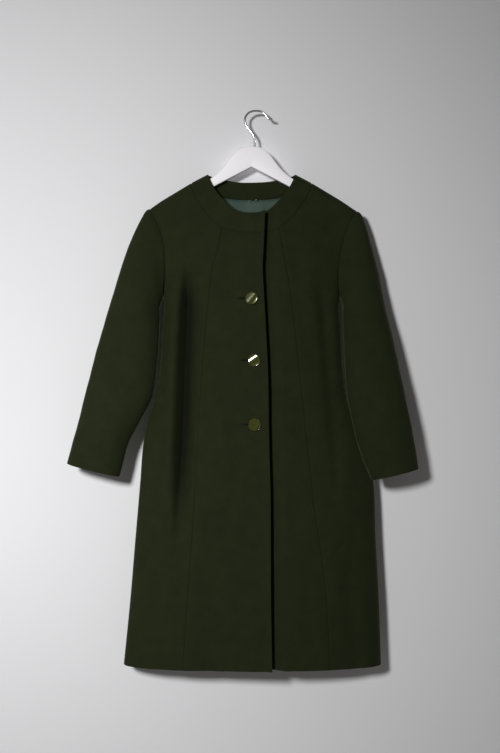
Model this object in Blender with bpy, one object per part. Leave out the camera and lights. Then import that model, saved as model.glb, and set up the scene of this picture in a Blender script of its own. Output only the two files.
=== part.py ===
# Knee-length wool coat with a flat neckband, hung closed on a wooden hanger.
# Metres, +Z up. The front faces -Y and the wearer's right is at -X.
# The origin is the inside top of the hanger's hook, where a peg or rod carries it.

import math

import bmesh
import bpy
from mathutils import Vector

# Cloth and seams
WALL = 0.0024            # wool with its interlining
SEAM_GAP = 0.0003        # between neighbouring pieces
LINING_WALL = 0.001
FACING_WALL = 0.0014
FACING_GAP = 0.0005      # between a layer and the cloth that it lies on
LINING_GAP = 0.0010
LINING_BELOW_SHOULDER = 0.028

# Heights
HEM_Z = -1.103
UNDERARM_Z = -0.370
LINING_HEM_Z = -1.073

# Shoulder line: straight from the neck to the sleeve, in front view
CENTRE_X = -0.005
NECK_TOP_X = 0.087       # half the width of the neck opening
NECK_TOP_Z = -0.1246
SHOULDER_SLOPE = 0.6
SHOULDER_ROUND = 0.015   # radius of the fold over the hanger's arms
SHOULDER_HALF = 0.205    # half of the back's width at the shoulders
CHEST_DROP = 0.22        # the body has its full depth this far below the shoulder line

# Body section: a flattened oval whose corners are a little squarer than an ellipse's
OVAL_POWER = 2.3
# height, side fold on the wearer's right, on the left, depth in front, behind, fold's own y
BODY = (
    (-0.050, -0.250, 0.250, 0.024, 0.012, 0.002),
    (-0.197, -0.250, 0.250, 0.026, 0.014, 0.003),
    (-0.280, -0.215, 0.211, 0.029, 0.016, 0.004),
    (-0.370, -0.182, 0.1710, 0.031, 0.018, 0.005),
    (-0.443, -0.184, 0.1725, 0.033, 0.019, 0.006),
    (-0.515, -0.188, 0.1765, 0.034, 0.021, 0.008),
    (-0.567, -0.197, 0.184, 0.035, 0.022, 0.009),
    (-0.621, -0.214, 0.205, 0.036, 0.023, 0.010),
    (-0.670, -0.223, 0.225, 0.037, 0.024, 0.010),
    (-0.735, -0.228, 0.239, 0.039, 0.025, 0.010),
    (-0.855, -0.238, 0.244, 0.041, 0.028, 0.008),
    (-0.975, -0.248, 0.250, 0.043, 0.031, 0.007),
    (-1.103, -0.2607, 0.2543, 0.045, 0.033, 0.006),
)

# Soft folds: face, x at the top, x at the foot, top, deepest from, deepest to, foot, half-width, depth
FOLDS = (
    ("front", -0.142, -0.152, -0.290, -0.400, -0.560, -0.900, 0.014, 0.0095),
    ("front", 0.128, 0.176, -0.300, -0.420, -0.560, -0.880, 0.016, 0.0050),
    ("front", -0.075, -0.098, -0.800, -1.020, -1.200, -1.300, 0.022, 0.0030),
    ("front", 0.185, 0.205, -0.700, -0.960, -1.200, -1.300, 0.020, 0.0045),
    ("back", -0.105, -0.135, -0.330, -0.560, -1.200, -1.300, 0.026, 0.0080),
    ("back", 0.095, 0.130, -0.350, -0.600, -1.200, -1.300, 0.028, 0.0070),
    ("back", 0.010, -0.006, -0.560, -0.900, -1.200, -1.300, 0.024, 0.0045),
)

# Seam lines in front view: (x, z), from the top down
PRINCESS_RIGHT = (
    (-0.0632, -0.2335), (-0.0715, -0.2790), (-0.0830, -0.3250), (-0.1000, -0.4820),
    (-0.1116, -0.6385), (-0.1212, -0.8335), (-0.1348, -1.0282), (-0.1393, -1.1030),
)
PRINCESS_LEFT = (
    (0.0500, -0.2350), (0.0705, -0.3526), (0.0860, -0.4820), (0.0995, -0.6072),
    (0.1150, -0.7555), (0.1305, -0.8667), (0.1420, -0.9638), (0.1496, -1.1030),
)
FRONT_EDGE = (
    (0.0242, -0.2000), (0.0206, -0.2790), (0.0190, -0.3130), (0.0233, -0.4000),
    (0.0272, -0.4700), (0.0299, -0.5350), (0.0315, -0.6520), (0.0343, -0.7700),
    (0.0352, -0.9640), (0.0373, -1.1030),
)
ARMHOLE_RIGHT = (
    (-0.2080, -0.1942), (-0.2010, -0.2066), (-0.1870, -0.2379), (-0.1790, -0.2750),
    (-0.1780, -0.3200), (-0.1800, -0.3550), (-0.1820, -0.3700),
)
ARMHOLE_LEFT = (
    (0.2060, -0.1990), (0.1965, -0.2115), (0.1865, -0.2320), (0.1780, -0.2580),
    (0.1705, -0.2920), (0.1675, -0.3300), (0.1685, -0.3580), (0.1710, -0.3700),
)

# Neckband: (distance from the middle, height) from the middle out to the shoulder line
BAND_SEAM_FRONT = (
    (0.000, -0.2445), (0.018, -0.2436), (0.034, -0.2398), (0.056, -0.2342), (0.076, -0.2185),
    (0.087, -0.2055), (0.0995, -0.1885), (0.111, -0.1710), (0.1185, -0.1540), (0.120, -0.1444),
)
NECK_EDGE_FRONT = (
    (0.000, -0.2042), (0.018, -0.2022), (0.037, -0.1940), (0.055, -0.1775), (0.0705, -0.1590),
    (0.080, -0.1430), (0.0850, -0.1320), (0.087, -0.1246),
)
BAND_SEAM_BACK = ((0.000, -0.1800), (0.040, -0.1770), (0.080, -0.1630), (0.105, -0.1515), (0.120, -0.1444))
NECK_EDGE_BACK = ((0.000, -0.1384), (0.030, -0.1370), (0.055, -0.1325), (0.075, -0.1275), (0.087, -0.1246))
FACING_DEPTH = 0.034
LINING_NECK_SPREAD = 0.76  # the lining's neck curve runs this much wider than the facing's

# Closing: the right front laps over the left one
OVERLAP = 0.058
LAP_LIFT = 0.0030        # the right front rises over the left one
EDGE_LIFT = 0.0028       # and its pressed edge stands a little further off
LAP_SINK = 0.0030        # the left front sinks under it

# Sleeves: outer edge (x, z), inner edge (x, z), y of the middle, half of the depth
SLEEVE_RIGHT = (
    (-0.2800, -0.3610, -0.1870, -0.3930, -0.004, 0.035),
    (-0.2965, -0.4190, -0.1890, -0.4510, -0.008, 0.035),
    (-0.3125, -0.4790, -0.1940, -0.5110, -0.012, 0.034),
    (-0.3255, -0.5290, -0.2025, -0.5670, -0.015, 0.033),
    (-0.3375, -0.5750, -0.2240, -0.6130, -0.017, 0.032),
    (-0.3530, -0.6350, -0.2480, -0.6610, -0.018, 0.031),
    (-0.3705, -0.7000, -0.2670, -0.7260, -0.018, 0.029),
)
SLEEVE_LEFT = (
    (0.2550, -0.3590, 0.1755, -0.3890, -0.006, 0.035),
    (0.2680, -0.4230, 0.1770, -0.4550, -0.016, 0.035),
    (0.2810, -0.4870, 0.1790, -0.5110, -0.026, 0.033),
    (0.2905, -0.5330, 0.1815, -0.5590, -0.032, 0.031),
    (0.2980, -0.5740, 0.1910, -0.6090, -0.036, 0.030),
    (0.3095, -0.6290, 0.2040, -0.6660, -0.036, 0.030),
    (0.3235, -0.7090, 0.2310, -0.7310, -0.034, 0.029),
)
SLEEVE_POWER = 2.15
CAP_START_PULL = 0.36    # how straight the cap leaves the armhole, of its own length
CAP_END_PULL = 0.62
CAP_LEAVES = ((0.55, -0.85), (1.00, 0.04))  # outward and up, at the underarm and at the top
CAP_FORWARD = 0.38       # and forward, halfway between them
SLEEVE_LEAN = 0.5        # how far the arm slants out for each step down
CAP_RINGS = (0.0, 0.10, 0.26, 0.50, 0.76)
SLEEVE_RINGS = (0.0, 1.0, 2.0, 3.0, 3.6, 4.3, 5.0, 6.0)

# Buttons: x, z of each
BUTTONS = ((-0.0050, -0.3750), (0.0000, -0.4960), (0.0008, -0.6220))
SHANK_RADIUS = 0.0012
# Half of a button's section, from the shank's top to the middle of its face: radius, height off the cloth
BUTTON_SECTION = (
    (0.00120, 0.00100), (0.00990, 0.00060), (0.01240, 0.00190), (0.01240, 0.00370),
    (0.01140, 0.00420), (0.01000, 0.00366), (0.00560, 0.00380), (0.00000, 0.00389),
)
BUTTON_SIDES = 20
SLIT_HEIGHT = 0.0030
SLIT_INNER = 0.0022      # the slit passes the shank by this much
SLIT_LENGTH = 0.0275
SLIT_CUT = 0.012         # how deep the cutter reaches through the cloth

# Hanger: distance from its middle, top, bottom, half of the thickness
HANGER_DROP = 0.0036     # from the shoulder line down to the wood
HANGER = (
    (0.000, -0.0690, -0.1098, 0.0052),
    (0.012, -0.0697, -0.1160, 0.0052),
    (0.024, -0.0742, -0.1223, 0.0052),
    (0.038, -0.0868, -0.1296, 0.0052),
    (0.054, -0.1080, -0.1379, 0.0052),
    (0.069, -0.1235, -0.1457, 0.0052),
    (0.085, -0.1350, -0.1545, 0.0052),
    (0.103, -0.1435, -0.1635, 0.0052),
)
HANGER_ARM_FROM = 0.122  # from here on the top follows the shoulder line
HANGER_REACH = 0.181
HANGER_ARM_HEIGHT = 0.0190
HANGER_TIP_HEIGHT = 0.0150
HANGER_SLOPE = 0.5       # of its top, between the middle part and the arms
HANGER_STATIONS = (0.0, 0.012, 0.024, 0.038, 0.054, 0.069, 0.085, 0.103, 0.122, 0.148, 0.170, 0.177)
HANGER_TIP_SIZE = 0.55   # of the last section, against the one before it
HANGER_TIP_RISE = 0.135
HANGER_RING = (
    (0.0, 1.0), (0.62, 0.90), (1.0, 0.62), (1.0, -0.62), (0.62, -0.90),
    (0.0, -1.0), (-0.62, -0.90), (-1.0, -0.62), (-1.0, 0.62), (-0.62, 0.90),
)

# Hook: wire centre line (x, z) from the tip to inside the wood
WIRE_RADIUS = 0.0025
HOOK = (
    (0.0370, -0.0140), (0.0325, -0.0135), (0.0285, -0.0122), (0.0255, -0.0085), (0.0225, -0.0048),
    (0.0190, -0.0012), (0.0145, 0.0015), (0.0090, 0.0025), (0.0030, 0.0027), (-0.0040, 0.0018),
    (-0.0105, -0.0012), (-0.0155, -0.0065), (-0.0182, -0.0130), (-0.0178, -0.0200), (-0.0150, -0.0275),
    (-0.0095, -0.0355), (-0.0040, -0.0425), (-0.0005, -0.0490), (0.0008, -0.0560), (0.0012, -0.0640),
    (0.0014, -0.0780),
)
HOOK_STEPS = 34
HOOK_BORE_CLEARANCE = 0.0004
HOOK_BORE_CUT = 0.030

# Grid: rows from the hem to the underarm, rows above it, columns of each piece
LOWER_ROWS = 13
UPPER_LEVELS = (0.87, 0.74, 0.60, "princess", 0.36, 0.26, 0.17, 0.09, 0.04, 0.012, 0.0)
PRINCESS_ROW = 4
FRONT_COLUMNS = 6
SIDE_COLUMNS = 7
BACK_NECK_SHARES = (0.0, 0.25, 0.48, 0.70, 0.86, 0.935, 0.975, 1.0)
BACK_OUTER_COLUMNS = 3
BAND_ROWS = 3
FACING_ROWS = 2
FACING_MARGIN = 3        # columns left free at each end, where the hanger passes
LINING_UPPER_ROWS = 6
LINING_MARGIN = 2
NUDGE = 0.02             # step used to read a surface's slope, of one row or column
MITER_LIMIT = 0.46       # keeps the inside corner of a sharp seam near it

# Colours: base colour, roughness, metallic
FINISH = {
    "wool": ((0.017, 0.028, 0.012), 0.92, 0.0),
    "wool_facing": ((0.016, 0.025, 0.012), 0.92, 0.0),
    "lining": ((0.075, 0.150, 0.110), 0.45, 0.0),
    "button": ((0.100, 0.095, 0.030), 0.18, 0.0),
    "painted_wood": ((0.800, 0.790, 0.780), 0.40, 0.0),
    "chrome": ((0.760, 0.760, 0.760), 0.12, 1.0),
}


# Small maths helpers


def mix(a, b, t):
    return a + (b - a) * t


def between(values, position):
    # Straight between neighbouring values
    i = min(int(position), len(values) - 2)
    return mix(values[i], values[i + 1], position - i)


def ease(t):
    t = min(max(t, 0.0), 1.0)
    return t * t * (3.0 - 2.0 * t)


def spline(points, position):
    # A smooth curve through points, read at a place given in steps from the first point
    last = len(points) - 1
    position = min(max(position, 0.0), last)
    i = min(int(position), last - 1)
    t = position - i
    p0, p1 = points[max(i - 1, 0)], points[i]
    p2, p3 = points[i + 1], points[min(i + 2, last)]
    result = []
    for a, b, c, d in zip(p0, p1, p2, p3):
        slope_in = (c - a) * 0.5
        slope_out = (d - b) * 0.5
        value = (2 * t**3 - 3 * t**2 + 1) * b + (t**3 - 2 * t**2 + t) * slope_in
        value += (3 * t**2 - 2 * t**3) * c + (t**3 - t**2) * slope_out
        result.append(value)
    return result


def find_place(points, measure, target):
    # The place on the curve where a measure that only falls or only rises reaches the target
    low, high = 0.0, float(len(points) - 1)
    rising = measure(*spline(points, high)) > measure(*spline(points, low))
    for _ in range(44):
        middle = (low + high) / 2
        if (measure(*spline(points, middle)) < target) == rising:
            low = middle
        else:
            high = middle
    return (low + high) / 2


def by_height(rows, z):
    # A row of a table read at a height, smooth between its rows
    heights = [row[0] for row in rows]
    if z >= heights[0]:
        return rows[0][1:]
    if z <= heights[-1]:
        return rows[-1][1:]
    i = next(k for k in range(len(rows) - 1) if heights[k + 1] <= z)
    t = (z - heights[i]) / (heights[i + 1] - heights[i])
    result = []
    for column in range(1, len(rows[0])):
        def slope(k):
            k0, k1 = max(k - 1, 0), min(k + 1, len(rows) - 1)
            return (rows[k1][column] - rows[k0][column]) / (heights[k1] - heights[k0])
        step = heights[i + 1] - heights[i]
        b, c = rows[i][column], rows[i + 1][column]
        value = (2 * t**3 - 3 * t**2 + 1) * b + (t**3 - 2 * t**2 + t) * slope(i) * step
        value += (3 * t**2 - 2 * t**3) * c + (t**3 - t**2) * slope(i + 1) * step
        result.append(value)
    return result


def x_at(line, z):
    return by_height([(height, x) for x, height in line], z)[0]


# The body's surface


def shoulder_z(x):
    out = abs(x - CENTRE_X)
    if out >= NECK_TOP_X:
        return NECK_TOP_Z - SHOULDER_SLOPE * (out - NECK_TOP_X)
    return NECK_TOP_Z + SHOULDER_SLOPE * NECK_TOP_X / 2 * (1 - (out / NECK_TOP_X) ** 2)


def side_x(z, side):
    right, left = by_height(BODY, z)[:2]
    return right if side < 0 else left


def fold_depth(face, x, z):
    total = 0.0
    for where, x_top, x_foot, top, deep_from, deep_to, foot, half_width, depth in FOLDS:
        if where != face or not foot < z < top:
            continue
        middle = mix(x_top, x_foot, (z - top) / (foot - top))
        fade = ease((top - z) / (top - deep_from)) * ease((z - foot) / (deep_to - foot))
        total += depth * fade * math.exp(-(((x - middle) / half_width) ** 2))
    return total


def body_point(face, x, z):
    right, left, depth_front, depth_back, fold_y = by_height(BODY, z)
    out = min(abs(x - (right + left) / 2) / ((left - right) / 2), 1.0)
    oval = max(1.0 - out**OVAL_POWER, 0.0) ** (1 / OVAL_POWER)
    below = max(shoulder_z(x) - z, 0.0)
    grown = ease(below / CHEST_DROP)
    top_round = SHOULDER_ROUND * math.sqrt(1 - (1 - min(below / SHOULDER_ROUND, 1.0)) ** 2)
    depth = depth_front if face == "front" else depth_back
    reach = (top_round + depth * grown) * oval - fold_depth(face, x, z) * min(oval * 2, 1.0)
    y = fold_y * grown + (reach if face == "back" else -reach)
    return Vector((x, y, z))


def lap_lift(x, z):
    edge = x_at(FRONT_EDGE, z)
    return LAP_LIFT * ease((x - edge + 0.070) / 0.070) + EDGE_LIFT * ease((x - edge + 0.016) / 0.016)


def lap_sink(x, z):
    edge = x_at(FRONT_EDGE, z)
    return LAP_SINK * ease((edge + 0.012 - x) / 0.050)


def front_point(side, x, z):
    # The front's surface on one side: the right one lies over the left one
    point = body_point("front", x, z)
    if side < 0:
        point.y -= lap_lift(x, z)
    else:
        point.y += lap_sink(x, z)
    return point


# Seam lines, each read by the same rows on both of its sides


def level(x, z):
    top = shoulder_z(x)
    return (top - z) / (top - UNDERARM_Z)


def across_neck(half, side, reach):
    # The neck's curve from the shoulder to the middle, and past it as far as the lap needs
    outer = [(CENTRE_X + side * out, z) for out, z in reversed(half)]
    beyond = [(CENTRE_X - side * out, z) for out, z in half[1:] if out <= reach]
    return outer + beyond


SIDES = {-1: "right", 1: "left"}
PRINCESS = {-1: PRINCESS_RIGHT, 1: PRINCESS_LEFT}
ARMHOLE = {-1: ARMHOLE_RIGHT, 1: ARMHOLE_LEFT}
BAND_SEAM = {side: across_neck(BAND_SEAM_FRONT, side, 0.057) for side in SIDES}
NECK_EDGE = {side: across_neck(NECK_EDGE_FRONT, side, 0.056) for side in SIDES}
HALF_SEAM = len(BAND_SEAM_FRONT) - 1
HALF_EDGE = len(NECK_EDGE_FRONT) - 1


def princess_top(side):
    # Where the princess seam meets the band's seam
    half = BAND_SEAM[side][:HALF_SEAM + 1]
    place = find_place(half, lambda x, z: x, PRINCESS[side][0][0])
    return place, spline(half, place)


PRINCESS_TOP = {side: princess_top(side) for side in SIDES}
PRINCESS_LINE = {side: (tuple(PRINCESS_TOP[side][1]), *PRINCESS[side][1:]) for side in SIDES}


def upper_level(side, row):
    # How far below the shoulder line a row above the underarm runs: 1 at the underarm, 0 at the top
    levels = [1.0]
    for value in UPPER_LEVELS:
        levels.append(level(*PRINCESS_TOP[side][1]) if value == "princess" else value)
    return between(levels, row)


UPPER_ROWS = len(UPPER_LEVELS)
ALL_ROWS = LOWER_ROWS + UPPER_ROWS


def lower_z(row):
    return mix(HEM_Z, UNDERARM_Z, row / LOWER_ROWS)


def armhole_xz(side, row):
    # Row 0 is the underarm and the last row is the shoulder
    if row <= 0:
        return side_x(UNDERARM_Z, side), UNDERARM_Z
    line = ARMHOLE[side]
    place = find_place(line, level, upper_level(side, row))
    x, z = spline(line, place)
    return (x, shoulder_z(x)) if row >= UPPER_ROWS else (x, z)


def inner_line_xz(side, row):
    # The side front's inner edge above the underarm: princess seam, then the band's seam
    wanted = upper_level(side, row)
    if row <= PRINCESS_ROW:
        line = PRINCESS_LINE[side]
    else:
        line = BAND_SEAM[side][:HALF_SEAM + 1]
    if row >= UPPER_ROWS:
        return line[0][0], shoulder_z(line[0][0])
    return spline(line, find_place(line, level, wanted))


def princess_x(side, z):
    line = PRINCESS_LINE[side]
    return spline(line, find_place(line, lambda px, pz: pz, z))[0]


def front_edge_x(side, z):
    edge = x_at(FRONT_EDGE, z)
    return edge if side < 0 else edge - OVERLAP


def lap_end(side, line):
    # Where the front edge crosses one of the neck's curves
    return find_place(line, lambda x, z: side * (x - front_edge_x(side, z)), 0.0)


def band_place(side, column):
    # Columns 0 up to the princess seam follow the side front's rows from the shoulder down
    steps = UPPER_ROWS - PRINCESS_ROW
    if column <= steps:
        return inner_line_xz(side, UPPER_ROWS - column)
    line = BAND_SEAM[side]
    start = PRINCESS_TOP[side][0]
    t = (column - steps) / FRONT_COLUMNS
    return spline(line, mix(start, lap_end(side, line), t))


def neck_edge_place(side, column):
    steps = UPPER_ROWS - PRINCESS_ROW
    line = NECK_EDGE[side]
    half = line[:HALF_EDGE + 1]
    ratio = level(*half[-1]) / level(CENTRE_X, BAND_SEAM_FRONT[0][1])
    if column <= 0:
        return half[0][0], shoulder_z(half[0][0])
    if column <= steps:
        wanted = ratio * upper_level(side, UPPER_ROWS - column)
        return spline(half, find_place(half, level, wanted))
    start = find_place(half, level, ratio * upper_level(side, PRINCESS_ROW))
    t = (column - steps) / FRONT_COLUMNS
    return spline(line, mix(start, lap_end(side, line), t))


# Surfaces of the pieces, read at any row and column


def side_front_point(side, row, column):
    if row <= LOWER_ROWS:
        z = lower_z(row)
        inner = (princess_x(side, z), z)
        outer = (side_x(z, side), z)
    else:
        inner = inner_line_xz(side, row - LOWER_ROWS)
        outer = armhole_xz(side, row - LOWER_ROWS)
    angle = mix(math.asin(inner[0] / outer[0]), math.pi / 2, column / SIDE_COLUMNS)
    x = outer[0] * math.sin(angle)
    if row > LOWER_ROWS:
        z = mix(shoulder_z(x), UNDERARM_Z, upper_level(side, row - LOWER_ROWS))
    return front_point(side, x, z)


def front_panel_point(side, row, column):
    t = column / FRONT_COLUMNS
    if row <= LOWER_ROWS:
        z = lower_z(row)
        return front_point(side, mix(princess_x(side, z), front_edge_x(side, z), t), z)
    inner = inner_line_xz(side, row - LOWER_ROWS)
    top = band_place(side, UPPER_ROWS - PRINCESS_ROW + column)
    first = band_place(side, UPPER_ROWS - PRINCESS_ROW)
    last = band_place(side, UPPER_ROWS - PRINCESS_ROW + FRONT_COLUMNS)
    up = (inner[1] - UNDERARM_Z) / (first[1] - UNDERARM_Z)
    z = mix(UNDERARM_Z, top[1], up)
    spread = (top[0] - mix(first[0], last[0], t)) * up
    x = mix(inner[0], front_edge_x(side, z), t) + spread
    return front_point(side, x, z)


BACK_INNER = len(BACK_NECK_SHARES) - 1
BACK_COLUMNS = 2 * (BACK_INNER + BACK_OUTER_COLUMNS)
BACK_NECK_SHARE = BAND_SEAM_BACK[-1][0] / SHOULDER_HALF


def back_share(column):
    # Place across the back, -1 to 1, with a column on each corner of the neck
    middle = BACK_COLUMNS / 2
    out = abs(column - middle)
    if out <= BACK_INNER:
        share = BACK_NECK_SHARE * between(BACK_NECK_SHARES, out)
    else:
        angle = mix(math.asin(BACK_NECK_SHARE), math.pi / 2, (out - BACK_INNER) / BACK_OUTER_COLUMNS)
        share = math.sin(angle)
    return math.copysign(share, column - middle)


def back_neck_z(x):
    # The top of the back panel: its neck seam, and the shoulder line beyond
    out = abs(x - CENTRE_X)
    if out >= BAND_SEAM_BACK[-1][0]:
        return shoulder_z(x)
    rows = [(-distance, z) for distance, z in BAND_SEAM_BACK]
    return by_height(rows, -out)[0]


def back_xz(row, column):
    share = back_share(column)
    side = -1 if share < 0 else 1
    if row <= LOWER_ROWS:
        z = lower_z(row)
        return share * abs(side_x(z, side)), z
    up = row - LOWER_ROWS
    reach = abs(armhole_xz(side, up)[0])
    # The corner columns drift to the neck's corners, and their neighbours share the move
    move = CENTRE_X + side * (BAND_SEAM_BACK[-1][0] - BACK_NECK_SHARE * reach)
    near = min(abs(share) / BACK_NECK_SHARE, (1 - abs(share)) / (1 - BACK_NECK_SHARE))
    middle = CENTRE_X * max(1 - abs(share) / BACK_NECK_SHARE, 0.0)
    rise = (up / UPPER_ROWS) ** 2
    x = share * reach + (move * near + middle) * rise
    return x, mix(back_neck_z(x), UNDERARM_Z, upper_level(side, up))


def back_panel_point(row, column):
    return body_point("back", *back_xz(row, column))


BACK_BAND_COLUMNS = BACK_INNER * 2


def back_band_point(row, column):
    # Row 0 is the seam on the back panel and the last row is the neck's edge
    seam = back_xz(ALL_ROWS, BACK_COLUMNS / 2 - BACK_INNER + column)
    share = (seam[0] - CENTRE_X) / BAND_SEAM_BACK[-1][0]
    x = CENTRE_X + share * NECK_TOP_X
    rows = [(-distance, z) for distance, z in NECK_EDGE_BACK]
    z = by_height(rows, -abs(x - CENTRE_X))[0]
    t = row / BAND_ROWS
    return body_point("back", mix(seam[0], x, t), mix(seam[1], z, t))


def band_point(side, row, column):
    seam = band_place(side, column)
    edge = neck_edge_place(side, column)
    t = row / BAND_ROWS
    x = mix(seam[0], edge[0], t)
    z = mix(seam[1], edge[1], t)
    if column <= 0:
        z = shoulder_z(x)
    return front_point(side, x, z)


# Sleeves


def sleeve_section(side, place, angle):
    # Angle 0 is the top edge, a quarter turn is the front and a half turn is the underarm
    rows = SLEEVE_RIGHT if side < 0 else SLEEVE_LEFT
    outer_x, outer_z, inner_x, inner_z, middle_y, depth = spline(rows, place)
    c, s = math.cos(angle), math.sin(angle)
    power = 2 / SLEEVE_POWER
    across = math.copysign(abs(c) ** power, c)
    front = math.copysign(abs(s) ** power, s)
    x = (outer_x + inner_x) / 2 + (outer_x - inner_x) / 2 * across
    z = (outer_z + inner_z) / 2 + (outer_z - inner_z) / 2 * across
    return Vector((x, middle_y - depth * front, z))


def armhole_point(side, column):
    # Column 0 is the underarm, then up the front to the shoulder and down the back
    if column <= UPPER_ROWS:
        return body_point("front", *armhole_xz(side, column))
    return body_point("back", *armhole_xz(side, 2 * UPPER_ROWS - column))


def cap_start(side, column):
    # The way the cloth leaves the armhole
    angle = math.pi * (1 - column / UPPER_ROWS)
    high = (1 + math.cos(angle)) / 2
    out, up = (mix(low, top, high) for low, top in zip(*CAP_LEAVES))
    return Vector((side * out, -CAP_FORWARD * math.sin(angle), up)).normalized()


def sleeve_point(side, ring, column):
    rings = len(CAP_RINGS)
    angle = math.pi * (1 - column / UPPER_ROWS)
    if ring >= rings:
        return sleeve_section(side, between(SLEEVE_RINGS, ring - rings), angle)
    t = between(CAP_RINGS + (1.0,), ring)
    start = armhole_point(side, column)
    end = sleeve_section(side, 0.0, angle)
    length = (end - start).length
    leave = cap_start(side, column) * length * CAP_START_PULL
    onward = (sleeve_section(side, 0.1, angle) - end).normalized() * length * CAP_END_PULL
    point = (2 * t**3 - 3 * t**2 + 1) * start + (t**3 - 2 * t**2 + t) * leave
    return point + (3 * t**2 - 2 * t**3) * end + (t**3 - t**2) * onward


# Walls


def surface_normal(point, row, column, last_row, last_column, outward, wrap=False):
    r0, r1 = max(row - NUDGE, 0), min(row + NUDGE, last_row)
    c0, c1 = column - NUDGE, column + NUDGE
    if not wrap:
        c0, c1 = max(c0, 0), min(c1, last_column)
    elif c0 < 0:
        c0 += last_column
    along = (point(r1, column) - point(r0, column)).normalized()
    across = (point(row, c1) - point(row, c0)).normalized()
    normal = along.cross(across).normalized()
    return normal if normal.dot(outward) >= 0 else -normal


def miter(corner, first, second):
    # The inside corner of two walls that meet at a seam
    both = first + second
    if both.length < 1e-6:
        return corner - first * WALL
    cosine = max(both.length / 2, MITER_LIMIT)
    return corner - both.normalized() * (WALL / cosine)


def body_outward(point):
    # Only roughly outward: it picks between a normal and its opposite
    return Vector((point.x * 0.4, point.y, 0.02 + max(0.0, point.z + 0.25) * 0.3))


def armhole_corner(side, column):
    # Outer and inner corner of the armhole's seam, shared by the panels and the sleeve
    here = armhole_point(side, column)
    after = armhole_point(side, (column + NUDGE) % (2 * UPPER_ROWS))
    before = armhole_point(side, (column - NUDGE) % (2 * UPPER_ROWS))
    around = (after - before).normalized()
    middle = (sleeve_section(side, 0.0, 0.0) + sleeve_section(side, 0.0, math.pi)) / 2
    sleeve = around.cross(cap_start(side, column)).normalized()
    axis = Vector((side * SLEEVE_LEAN, 0, -1)).normalized()
    away = (here - middle) - (here - middle).dot(axis) * axis
    if sleeve.dot(away) < 0:
        sleeve.negate()
    face = "front" if column <= UPPER_ROWS else "back"
    row = column if column <= UPPER_ROWS else 2 * UPPER_ROWS - column
    x, z = armhole_xz(side, row)
    if row <= 0:
        body = Vector((side, 0, 0))
    elif row >= UPPER_ROWS:
        body = Vector((side * SHOULDER_SLOPE, 0, 1)).normalized()
    else:
        dx = body_point(face, x + 1e-4, z) - body_point(face, x - 1e-4, z)
        dz = body_point(face, x, z + 1e-4) - body_point(face, x, z - 1e-4)
        body = dx.cross(dz).normalized()
        if body.y * (-1 if face == "front" else 1) < 0:
            body.negate()
    return here, miter(here, body, sleeve)


def link_object(name, bm, finish, smooth_angle=math.radians(50)):
    bmesh.ops.recalc_face_normals(bm, faces=bm.faces)
    mesh = bpy.data.meshes.new(name)
    bm.to_mesh(mesh)
    bm.free()
    mesh.shade_smooth()
    mesh.set_sharp_from_angle(angle=smooth_angle)
    obj = bpy.data.objects.new(name, mesh)
    bpy.context.scene.collection.objects.link(obj)
    obj.data.materials.append(material(finish))
    return obj


def material(finish):
    found = bpy.data.materials.get(finish)
    if found:
        return found
    colour, roughness, metallic = FINISH[finish]
    made = bpy.data.materials.new(finish)
    made.use_nodes = True
    shader = made.node_tree.nodes["Principled BSDF"]
    shader.inputs["Base Color"].default_value = (*colour, 1.0)
    shader.inputs["Roughness"].default_value = roughness
    shader.inputs["Metallic"].default_value = metallic
    return made


def cloth_wall(name, finish, rows, columns, point, outward, corners=None, closed=False,
               first_column=0, wall=WALL, inset=0.0):
    # A closed wall: an outer grid, the same grid moved in by the wall, and its edges.
    # corners gives (outer, inner) where a seam's corner is shared with another piece.
    count = columns if closed else columns + 1
    last_column = first_column + columns
    outer, inner = [], []
    for row in range(rows + 1):
        outer.append([])
        inner.append([])
        for column in range(first_column, first_column + count):
            shared = corners(row, column) if corners else None
            if shared:
                place, inside = shared
            else:
                place = point(row, column)
                normal = surface_normal(point, row, column, rows, last_column, outward(place), closed)
                inside = place - normal * (inset + wall)
                place = place - normal * inset
            outer[-1].append(place)
            inner[-1].append(inside)
    draw_in_edges(outer, inner, closed)
    bm = bmesh.new()
    out = [[bm.verts.new(p) for p in line] for line in outer]
    ins = [[bm.verts.new(p) for p in line] for line in inner]
    steps = count if closed else count - 1
    for i in range(rows):
        for j in range(steps):
            k = (j + 1) % count
            bm.faces.new((out[i][j], out[i][k], out[i + 1][k], out[i + 1][j]))
            bm.faces.new((ins[i][j], ins[i + 1][j], ins[i + 1][k], ins[i][k]))
    for j in range(steps):
        k = (j + 1) % count
        bm.faces.new((out[0][j], ins[0][j], ins[0][k], out[0][k]))
        bm.faces.new((out[rows][j], out[rows][k], ins[rows][k], ins[rows][j]))
    if not closed:
        for i in range(rows):
            bm.faces.new((out[i][0], out[i + 1][0], ins[i + 1][0], ins[i][0]))
            bm.faces.new((out[i][-1], ins[i][-1], ins[i + 1][-1], out[i + 1][-1]))
    bmesh.ops.triangulate(bm, faces=bm.faces)
    return link_object(name, bm, finish)


def draw_in_edges(outer, inner, closed):
    # Each edge moves in along the cloth by half of a seam's gap
    rows, columns = len(outer), len(outer[0])
    moves = {}
    for i in range(rows):
        for j in range(columns):
            neighbours = []
            if i in (0, rows - 1):
                neighbours.append(outer[1 if i == 0 else rows - 2][j])
            if j in (0, columns - 1) and not closed:
                neighbours.append(outer[i][1 if j == 0 else columns - 2])
            move = Vector()
            for neighbour in neighbours:
                move += (neighbour - outer[i][j]).normalized() * (SEAM_GAP / 2)
            moves[i, j] = move
    for (i, j), move in moves.items():
        outer[i][j] = outer[i][j] + move
        inner[i][j] = inner[i][j] + move


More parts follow.
